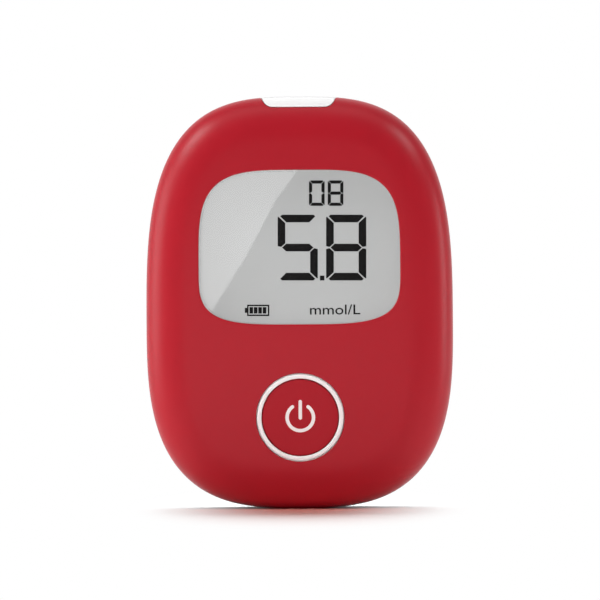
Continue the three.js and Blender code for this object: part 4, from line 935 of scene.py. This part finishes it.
def lcd_unit():
    mesh = unit_letters()
    xs = [v.co.x for v in mesh.vertices]
    ys = [v.co.y for v in mesh.vertices]
    x0, y0, x1, y1 = UNIT_BOX
    (left, low), (right, high) = photo_place(x0, y1), photo_place(x1, y0)
    for vertex in mesh.vertices:
        x, row = rescaled(vertex.co.x, xs, left, right), rescaled(vertex.co.y, ys, low, high)
        vertex.co = at(x, row, LCD_FRONT + math.copysign(FIGURE_RISE, vertex.co.z))
    mesh.name = "lcd_unit_mark"
    dress(linked("lcd_unit_mark", mesh), FIGURES, "housing", "black_plastic")


def lcd_outline(inset):
    half, rows = LCD_HALF - inset, (LCD_ROWS[0] + inset, LCD_ROWS[1] - inset)
    return rounded_rectangle((-half, half), rows, LCD_CORNER, LCD_CORNER_STEPS)


def lcd_panel():
    """Display glass with ground edges."""
    back, front, edge = LCD_BACK, LCD_FRONT, LCD_EDGE
    steps = [(edge, back), (0, back + edge), (0, front - edge), (edge, front)]
    panel = build("lcd_glass", flat_stack(steps, lcd_outline))
    dress(shade(panel), LCD, "housing", "display_glass", "lcd_panel")


# Back: rear cover with the opening of the battery cover, the slot of the ejector and the screws' holes
LEDGE_DEPTH = 1.95
DOOR_HALF = 13.4
DOOR_ROWS = (9.6, 63.7)
DOOR_GAP = 0.25
DOOR_CORNER = 3.0
DOOR_DEPTHS = (0.2, 1.7)
DOOR_EDGE = 0.3
BACK_EDGE = 0.25
SLOT_HALF = 4.9
SLOT_ROWS = (66.6, 79.4)
SLOT_FLOOR = 1.2
SLOT_CORNER = 1.2
SCREW_PLACE_SHARES = ((0.545, 0.879), (0.623, 0.151))
SCREW_PLACES = [(side * BODY["half"] * across, along * HEIGHT)
                for across, along in SCREW_PLACE_SHARES for side in (-1, 1)]
SCREW_SEAT = 3.2
SCREW_HOLE = 2.15


def rear_cover():
    shell = build("white_rear_cover", rear_form(-GROW, REAR_RIM))
    cut(shell, [build("inner", rear_form(SKIN, REAR_RIM + OVERRUN))])
    join(shell, [copy_of("rear_cover", "solid")])
    opening = rounded_rectangle((-DOOR_HALF - DOOR_GAP, DOOR_HALF + DOOR_GAP),
                                (DOOR_ROWS[0] - DOOR_GAP, DOOR_ROWS[1] + DOOR_GAP), DOOR_CORNER)
    slot = rounded_rectangle((-SLOT_HALF, SLOT_HALF), SLOT_ROWS, SLOT_CORNER)
    holes = [round_outline(x, row, SCREW_HOLE, SMALL_SIDES) for x, row in SCREW_PLACES]
    cut(shell, [
        build("opening", back_mouth(opening, LEDGE_DEPTH - GROW, BACK_EDGE)),
        build("slot", back_mouth(slot, SLOT_FLOOR - GROW, BACK_EDGE)),
        build("rim_cut", rim_round(REAR_RIM, -1)),
        *(build("hole", back_mouth(hole, SCREW_SEAT - GROW, BACK_EDGE)) for hole in holes),
    ])
    dress(shade(shell), WHITE, "housing", "white_shell", "rear_cover")


LEAST_CORNER = 0.05


def plate(across, rows, radius, depths, edge):
    """A flat plate with round corners and a rounded edge towards the back."""
    def outline(inset):
        sides = [(low + inset, high - inset) for low, high in (across, rows)]
        return rounded_rectangle(*sides, max(radius - inset, LEAST_CORNER))

    steps = [(edge * left, depths[0] + edge * gone) for gone, left in quarter_round()]
    return flat_stack([*steps, (0, depths[1])], outline)


# Battery cover. The rows of its tabs and necks count from its foot, those of its bump from its head.
TAB_COLUMN = 8.5
TAB_HALF = 1.5
TAB_ROWS = (-2.0, 1.6)
TAB_DEPTHS = (2.15, 2.95)
NECK_ROWS = (0.2, 1.59)
NECK_FRONT = 2.35
SINK = 0.2
RIB_HALF_ACROSS = 10.3
RIB_HALF = 0.6
RIB_RISE = 0.3
RIB_SHARES = (0.22, 0.5, 0.78)
WELL_ROWS = (12.2, 61.5)
BUMP_HALF = 4.0
BUMP_ROWS = (-0.2, 0.12)
BUMP_MARGIN = 0.5
TONGUE_HALF = 5.0
SLIT_WIDTH = 0.6
SLIT_LENGTH = 6.0
GRIP_HALF = 3.5
GRIP_PITCH = 1.8
GRIP_BAR_HALF = 0.4
GRIP_BAR_SINK = 0.3
GRIP_EDGE = 0.2
GRIP_POOL = 0.6
GRIP_POOL_MARGIN = 1.0
GRIP_POOL_CORNER = 0.8
GRIP_COUNT = 3


def hooks():
    """Two tabs below the foot of the battery cover, each on its neck."""
    low, front = DOOR_ROWS[0], DOOR_DEPTHS[1]
    made = []
    for side in (-1, 1):
        across = (side * TAB_COLUMN - TAB_HALF, side * TAB_COLUMN + TAB_HALF)
        tab_rows, neck_rows = ([low + row for row in rows] for rows in (TAB_ROWS, NECK_ROWS))
        made.append(build("tab", slab(across, tab_rows, TAB_DEPTHS)))
        made.append(build("neck", slab(across, neck_rows, (front - SINK, NECK_FRONT))))
    return made


def ribs():
    """Low bars across the inside of the battery cover."""
    (low, high), front = WELL_ROWS, DOOR_DEPTHS[1]
    rows = [low + (high - low) * share for share in RIB_SHARES]
    return [build("rib", slab((-RIB_HALF_ACROSS, RIB_HALF_ACROSS), (row - RIB_HALF, row + RIB_HALF),
                              (front - SINK, front + RIB_RISE))) for row in rows]


def snap_bump():
    """The ridge on the head of the snap tongue."""
    (back, front), top = DOOR_DEPTHS, DOOR_ROWS[1]
    return build("bump", slab((-BUMP_HALF, BUMP_HALF), [top + row for row in BUMP_ROWS],
                              (back + BUMP_MARGIN, front - BUMP_MARGIN)))


def grip_pool():
    """A cutter for the hollow round the grip bars."""
    back, reach, high = DOOR_DEPTHS[0], GRIP_HALF + GRIP_POOL_MARGIN, DOOR_ROWS[1] - SLIT_LENGTH
    low = high - (GRIP_COUNT + 1) * GRIP_PITCH
    outline = rounded_rectangle((-reach, reach), (low, high), GRIP_POOL_CORNER)
    return moved(build("pool", back_mouth(outline, back + GRIP_POOL, GRIP_EDGE)), 0, 0, back)


def tongue_slits():
    """Cutters for the slits on both sides of the snap tongue."""
    top, half = DOOR_ROWS[1], SLIT_WIDTH / 2
    columns = [side * (TONGUE_HALF + half) for side in (-1, 1)]
    return [build("slit", slab((x - half, x + half), (top - SLIT_LENGTH, top + OVERRUN),
                               (-OVERRUN, DOOR_DEPTHS[1] + OVERRUN))) for x in columns]


def grip_bars():
    back, high = DOOR_DEPTHS[0], DOOR_ROWS[1] - SLIT_LENGTH
    rows = [high - (bar + 1) * GRIP_PITCH for bar in range(GRIP_COUNT)]
    across, half, depths = (-GRIP_HALF, GRIP_HALF), GRIP_BAR_HALF, (back, back + GRIP_POOL + GRIP_BAR_SINK)
    return [build("bar", plate(across, (row - half, row + half), half, depths, GRIP_EDGE)) for row in rows]


def battery_cover():
    door = build("white_battery_cover",
                 plate((-DOOR_HALF, DOOR_HALF), DOOR_ROWS, DOOR_CORNER, DOOR_DEPTHS, DOOR_EDGE))
    join(door, [*hooks(), *ribs(), snap_bump()])
    cut(door, [grip_pool(), *tongue_slits()])
    join(door, grip_bars())
    dress(shade(door), WHITE, "battery_door", "white_shell", "battery_cover")


# Housing screws
SCREW_HEAD = 1.9
SCREW_HEAD_HEIGHT = 1.3
SCREW_FLAT_SHARE = 0.45
SCREW_CROWN_SHARE = 0.38
SCREW_CROWN_HEIGHT = 0.42
SCREW_SHANK = 0.95
SCREW_LENGTH = 11.5
SCREW_POINT = 0.9
DRIVE_REACH = 1.1
DRIVE_HALF = 0.26
DRIVE_DEPTH = 0.7
DRIVE_FLOOR_SHARE = 0.55


def drive(across, along, high):
    """A cutter for one bar of the cross recess, narrower at its floor."""
    points, faces = slab((-across, across), (-along, along), (high - OVERRUN, high + DRIVE_DEPTH))
    narrowed = []
    for x, row, depth in points:
        share = DRIVE_FLOOR_SHARE if depth > high else 1
        narrowed.append((x * share, row * share, depth))
    return build("drive", (narrowed, faces))


def screw(index, x, row):
    seat = SCREW_SEAT - HOLE_GAP
    high = seat - SCREW_HEAD_HEIGHT
    profile = [(SCREW_HEAD * SCREW_FLAT_SHARE, high)]
    for gone, left in quarter_round():
        radius = SCREW_HEAD * (1 - SCREW_CROWN_SHARE * left)
        profile.append((radius, high + SCREW_CROWN_HEIGHT * gone + GROW))
    profile += [(SCREW_HEAD, seat), (SCREW_SHANK, seat), (SCREW_SHANK, seat + SCREW_LENGTH - SCREW_POINT),
                (SCREW_SHANK / 2, seat + SCREW_LENGTH)]
    body = build(f"cross_head_screw_{index}", turned_body(profile, SMALL_SIDES))
    cut(body, [drive(DRIVE_REACH, DRIVE_HALF, high), drive(DRIVE_HALF, DRIVE_REACH, high)])
    moved(body, x, row, 0)
    dress(shade(body), STEEL, "housing", "steel", f"housing_screw_{index}")


# Ejector
THUMB_HALF = 4.5
THUMB_ROWS = (67.0, 75.0)
THUMB_CORNER = 1.2
THUMB_EDGE = 0.2
PAD_DEPTHS = (0.4, 1.0)
PAD_OVERLAP = 0.1
STEM_ROOM = 20.0
RIDGE_COUNT = 5
RIDGE_RADIUS = 0.36
RIDGE_SINK = 0.08
RIDGE_SIDES = 20


def ridge(row, depth):
    """A round bar across the thumb rest."""
    section, half = round_outline(row, depth, RIDGE_RADIUS, RIDGE_SIDES), THUMB_HALF - THUMB_CORNER
    return build("ridge", stack([[(x, *place) for place in section] for x in (-half, half)]))


def ejector():
    """A ridged thumb rest on the stem, flange and arm of the solid."""
    (low, top), (back, front) = THUMB_ROWS, PAD_DEPTHS
    slider = build("white_strip_ejector", plate((-THUMB_HALF, THUMB_HALF), THUMB_ROWS, THUMB_CORNER,
                                                (back - GROW, front), THUMB_EDGE))
    stem = copy_of("ejector_slider", "solid")
    kept = slab((-STEM_ROOM, STEM_ROOM), (0, HEIGHT), (front - PAD_OVERLAP, THICKNESS))
    trim(stem, build("keep", kept))
    join(slider, [stem])
    pitch = (top - low) / (RIDGE_COUNT + 1)
    join(slider, [ridge(low + (index + 1) * pitch, back + RIDGE_SINK) for index in range(RIDGE_COUNT)])
    dress(shade(slider), WHITE, "ejector", "white_shell", "ejector_slider")


def ejector_spring():
    """The slider's return spring in its CAD shape, on a mesh of its own; nothing here shortens it as the
    slider goes up.
    """
    spring = copy_of("ejector_spring", "ejector_return_spring")
    dress(shade(spring), STEEL, "housing", "steel", "ejector_spring")
    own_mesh(spring)


# Cells. The foot is given as distances inside the radius with their height, and the nub as
# distances outside its own radius with their height above the can.
CELL_COLUMN = 5.55
CELL_DEPTH = 7.45
CELL_RADIUS = 5.25
CELL_LENGTH = 44.5
CELL_FOOT = ((1.1, 0.0), (1.0, 0.12), (0.5, 0.12))
CELL_FOOT_RISE = 0.12
CELL_ROUND = 0.45
CELL_NUB = 1.9
CELL_NUB_HEIGHT = 1.0
CELL_NUB_ROOT = ((0.4, 0.0), (0.15, 0.12), (0.0, 0.35))
CELL_NUB_EDGE = 0.25
CELL_SIDES = 64


def cell_profile():
    """Radius and height of a crimped foot, two rounded shoulders and a raised contact."""
    can = CELL_LENGTH - CELL_NUB_HEIGHT
    profile = [(CELL_RADIUS - inside, rise) for inside, rise in CELL_FOOT]
    for gone, left in quarter_round():
        profile.append((CELL_RADIUS - CELL_ROUND * left, CELL_FOOT_RISE + CELL_ROUND * gone))
    for gone, left in quarter_round():
        profile.append((CELL_RADIUS - CELL_ROUND * gone, can - CELL_ROUND * left))
    profile += [(CELL_NUB + outside, can + rise) for outside, rise in CELL_NUB_ROOT]
    return profile + [(CELL_NUB, CELL_LENGTH - CELL_NUB_EDGE), (CELL_NUB - CELL_NUB_EDGE, CELL_LENGTH)]


def battery(name, node, x, nub_up):
    """A cell along the rows, with its contact at the upper or the lower end."""
    points, faces = turned_body(cell_profile(), CELL_SIDES)
    low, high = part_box(node)
    foot, head = low.z / MM, high.z / MM
    placed = [(x + px, foot + z if nub_up else head - z, CELL_DEPTH + (-py if nub_up else py))
              for px, py, z in points]
    dress(shade(build(name, (placed, faces))), CELL, "housing", "cell_jacket", node)


# Nodes that keep their CAD shape
STRIP_CONTACT_COUNT = 4
KEPT = {
    FOAM: ("lcd_dust_gasket",),
    FOIL: ("lcd_reflector",),
    ELASTOMER: ("zebra_connector_lower", "zebra_connector_upper"),
    FRAME_WHITE: ("lcd_holder",),
    BOARD: ("circuit_board",),
    BLACK: ("main_chip", "analog_chip", "memory_chip", "buzzer", "switch_plunger", "strip_connector"),
    STEEL: ("clock_crystal", "tact_switch", "bridge_contact", "plus_contact", "minus_contact",
            "battery_spring_left", "battery_spring_right", "board_screw_1", "board_screw_2"),
    GOLD: tuple(f"strip_contact_{index + 1}" for index in range(STRIP_CONTACT_COUNT)),
}


def kept_nodes():
    for material, names in KEPT.items():
        for name in names:
            node = frame["nodes"][name]
            if not node.material_slots:
                node.data.materials.append(material)
            for slot in node.material_slots:
                slot.material = material


front_cover()
rear_cover()
strip_port()
display_window()
lcd_panel()
lcd_figures()
lcd_unit()
button_ring()
button_cap()
power_mark()
battery_cover()
ejector()
ejector_spring()
for number, (screw_x, screw_row) in enumerate(SCREW_PLACES, 1):
    screw(number, screw_x, screw_row)
battery("left_cell", "battery_left", -CELL_COLUMN, True)
battery("right_cell", "battery_right", CELL_COLUMN, False)
kept_nodes()


# Camera
DISTANCE = 1600.0
CAMERA_ROW = 60.0
AIM_ROW = 43.6
CAMERA_X = 0.08
SILHOUETTE_DEPTH = 13.5
FRAME_PIXELS = 600
SENSOR_WIDTH = 36.0
CLIP_REACH = (10.0, 20000.0)


def camera():
    data = bpy.data.cameras.new("camera")
    plane = THICKNESS / 2 - SILHOUETTE_DEPTH
    half = FRAME_PIXELS / 2 * PHOTO_SCALE / (DISTANCE + plane)
    data.sensor_width = SENSOR_WIDTH
    data.lens = SENSOR_WIDTH / 2 / half
    data.clip_start, data.clip_end = (reach * MM for reach in CLIP_REACH)
    obj = linked("camera", data)
    obj.location = Vector((CAMERA_X, -DISTANCE, CAMERA_ROW)) * MM
    tilt = math.atan((CAMERA_ROW - AIM_ROW) / (DISTANCE + plane))
    turned = Matrix.Rotation(QUARTER - tilt, 4, "X") @ Matrix.Rotation(-math.atan(PHOTO_LEAN), 4, "Z")
    obj.rotation_euler = turned.to_euler()
    bpy.context.scene.camera = obj


# Lamps: name, azimuth and elevation in degrees, size in mm, watts, then reach and colour if not the usual
CENTRE = (0, 0, 43)
LAMP_REACH = 750.0
PLAIN_LIGHT = (1.0, 1.0, 1.0)
COOL_LIGHT = (0.9, 0.98, 1.0)
WARM_LIGHT = (1.0, 0.38, 0.3)
LAMPS = [
    ("key_left", 92, 5, (420, 420), 2.6),
    ("above_left", 78, 43, (300, 300), 3.35),
    ("above_right", -78, 42, (250, 250), 1.6),
    ("front", 5, -5, (160, 60), 0.44, 300.0),
    ("top", 5, 82, (600, 400), 1.1),
    ("right_edge", -95, 3, (140, 240), 1.0),
    ("back", -165, 42, (500, 500), 3.1),
    ("floor_behind", 180, 52, (250, 620), 9.2, LAMP_REACH, COOL_LIGHT),
    ("floor_before", 0, 60, (250, 500), 2.3, LAMP_REACH, WARM_LIGHT),
]
MIRRORED = ("key_left", "above_left", "above_right", "top", "right_edge")


def lamp(name, azimuth, elevation, size, watts, reach=LAMP_REACH, colour=PLAIN_LIGHT):
    """A soft box round the meter. Azimuth runs from the front to the left."""
    data = bpy.data.lights.new(name, "AREA")
    data.shape = "RECTANGLE"
    data.size, data.size_y = size[0] * MM, size[1] * MM
    data.energy = watts
    data.color = colour
    obj = linked(name, data)
    turn, rise = math.radians(azimuth), math.radians(elevation)
    way = Vector((-math.cos(rise) * math.sin(turn), -math.cos(rise) * math.cos(turn), math.sin(rise)))
    obj.location = (Vector(CENTRE) + way * reach) * MM
    obj.rotation_euler = way.to_track_quat("Z", "Y").to_euler()
    obj.visible_glossy = name in MIRRORED
    obj.visible_transmission = False
    obj.visible_camera = False
    return obj


def split_light(made, ground):
    """Floor lamps light the floor alone and the others all but the floor."""
    for obj in made:
        group = bpy.data.collections.new(obj.name + "_split")
        group.objects.link(ground)
        for_floor = obj.name.startswith("floor")
        group.collection_objects[0].light_linking.link_state = "INCLUDE" if for_floor else "EXCLUDE"
        obj.light_linking.receiver_collection = group


# World: its even light, how dim its front is to mirrors, and where that goes over to white behind
AMBIENT = 0.03
GLOSS_FRONT = 0.08
GLOSS_TURN_SHARES = (0.3, 0.9)


def picked(tree, factor, low, high):
    """A number that is low where the factor is 0 and high where it is 1."""
    values = {"Factor": factor, MIX_NUMBERS[0]: low, MIX_NUMBERS[1]: high}
    return add(tree, "ShaderNodeMix", values).outputs["Result"]


def world():
    """White to what looks at it, dim on the camera's side, and an even soft light for the rest."""
    made = bpy.data.worlds.new("studio")
    bpy.context.scene.world = made
    made.use_nodes = True
    tree = made.node_tree
    tree.nodes.clear()
    ray = add(tree, "ShaderNodeLightPath").outputs
    place = add(tree, "ShaderNodeTexCoord").outputs["Generated"]
    along = add(tree, "ShaderNodeSeparateXYZ", {"Vector": place}).outputs["Y"]
    behind = spread(tree, along, GLOSS_FRONT, 1.0, GLOSS_TURN_SHARES)
    strength = picked(tree, ray["Is Glossy Ray"], AMBIENT, behind)
    strength = picked(tree, ray["Is Transmission Ray"], strength, behind)
    strength = picked(tree, ray["Is Camera Ray"], strength, 1.0)
    background = add(tree, "ShaderNodeBackground", {"Color": (1, 1, 1, 1), "Strength": strength})
    add(tree, "ShaderNodeOutputWorld", {"Surface": background.outputs[0]})


# Floor: its size, how far down it lies, and where what the camera sees of it goes over to white
FLOOR_RADIUS = 2500.0
FLOOR_SIDES = 96
FLOOR_LOWER = 0.02
FLOOR_FADE_SHARES = (0.12, 1.0)
FLOOR_FADE_REACH = (36.5, 128.0, 1.0)
FLOOR_SEEN = (0.96, 0.96, 0.96)
FLOOR_UNSEEN = (0.95, 0.88, 0.87)


def floor_fade(tree):
    """0 near the meter and 1 away from it, past an ellipse."""
    place = add(tree, "ShaderNodeTexCoord").outputs["Object"]
    reach = Vector(FLOOR_FADE_REACH) * MM
    scaled = add(tree, "ShaderNodeVectorMath", {0: place, 1: reach}, operation="DIVIDE").outputs["Vector"]
    length = add(tree, "ShaderNodeVectorMath", {0: scaled}, operation="LENGTH").outputs["Value"]
    values = {"Value": length, "From Min": FLOOR_FADE_SHARES[0], "From Max": FLOOR_FADE_SHARES[1]}
    return add(tree, "ShaderNodeMapRange", values, interpolation_type="SMOOTHSTEP").outputs["Result"]


def either(tree, first, second):
    return add(tree, "ShaderNodeMath", {0: first, 1: second}, operation="MAXIMUM").outputs[0]


def mixed_shader(tree, factor, low, high):
    return add(tree, "ShaderNodeMixShader", {0: factor, 1: low.outputs[0], 2: high.outputs[0]})


def floor_material():
    """Near white to what looks at it, going over to plain light, and slightly warm to scattered light."""
    material, tree = bare_material("floor")
    ray = add(tree, "ShaderNodeLightPath").outputs
    plain = add(tree, "ShaderNodeBsdfDiffuse", {"Color": (*FLOOR_UNSEEN, 1)})
    seen = add(tree, "ShaderNodeBsdfDiffuse", {"Color": (*FLOOR_SEEN, 1)})
    near = mixed_shader(tree, floor_fade(tree), seen, add(tree, "ShaderNodeEmission"))
    mirrored_ray = either(tree, ray["Is Glossy Ray"], ray["Is Transmission Ray"])
    final = mixed_shader(tree, either(tree, ray["Is Camera Ray"], mirrored_ray), plain, near)
    add(tree, "ShaderNodeOutputMaterial", {"Surface": final.outputs[0]})
    return material


def floor():
    rim = round_outline(0, 0, FLOOR_RADIUS, FLOOR_SIDES)
    points = [Vector((x, y, -FLOOR_LOWER)) * MM for x, y in rim]
    obj = linked_mesh("floor", points, [tuple(range(FLOOR_SIDES))])
    obj.data.materials.append(floor_material())
    return obj


# Pale strip whose mirror image lies across the window, from its edge as it shows on the face
GLARE_EDGE = [
    (2.8, 76.0), (-0.8, 70.0), (-4.8, 64.6), (-8.85, 57.0),
    (-11.6, 52.0), (-16.9, 43.7), (-21.0, 36.8),
]
GLARE_LEFT = -34.0
GLARE_STRENGTH = 3.8


def glare_card():
    """Stands half way to the camera. A place on it is about 1.5 times as far out as its mirror image."""
    outline = [(GLARE_LEFT, GLARE_EDGE[0][1]), *GLARE_EDGE, (GLARE_LEFT, GLARE_EDGE[-1][1])]
    reach = 1 + (DISTANCE / 2 + LENS_FRONT) / (DISTANCE + LENS_FRONT)
    points = []
    for x, row in outline:
        across, height = (x - CAMERA_X) * reach, (row - CAMERA_ROW) * reach
        points.append(Vector((CAMERA_X + across, -DISTANCE / 2, CAMERA_ROW + height)) * MM)
    card = linked_mesh("glare_card", points, [tuple(range(len(points)))])
    for ray in ("camera", "diffuse", "transmission", "shadow"):
        setattr(card, f"visible_{ray}", False)
    material, tree = bare_material("glare_card")
    glow = add(tree, "ShaderNodeEmission", {"Strength": GLARE_STRENGTH})
    add(tree, "ShaderNodeOutputMaterial", {"Surface": glow.outputs[0]})
    card.data.materials.append(material)


camera()
glare_card()
world()
split_light([lamp(*values) for values in LAMPS], floor())
bpy.context.scene.view_settings.view_transform = "Standard"
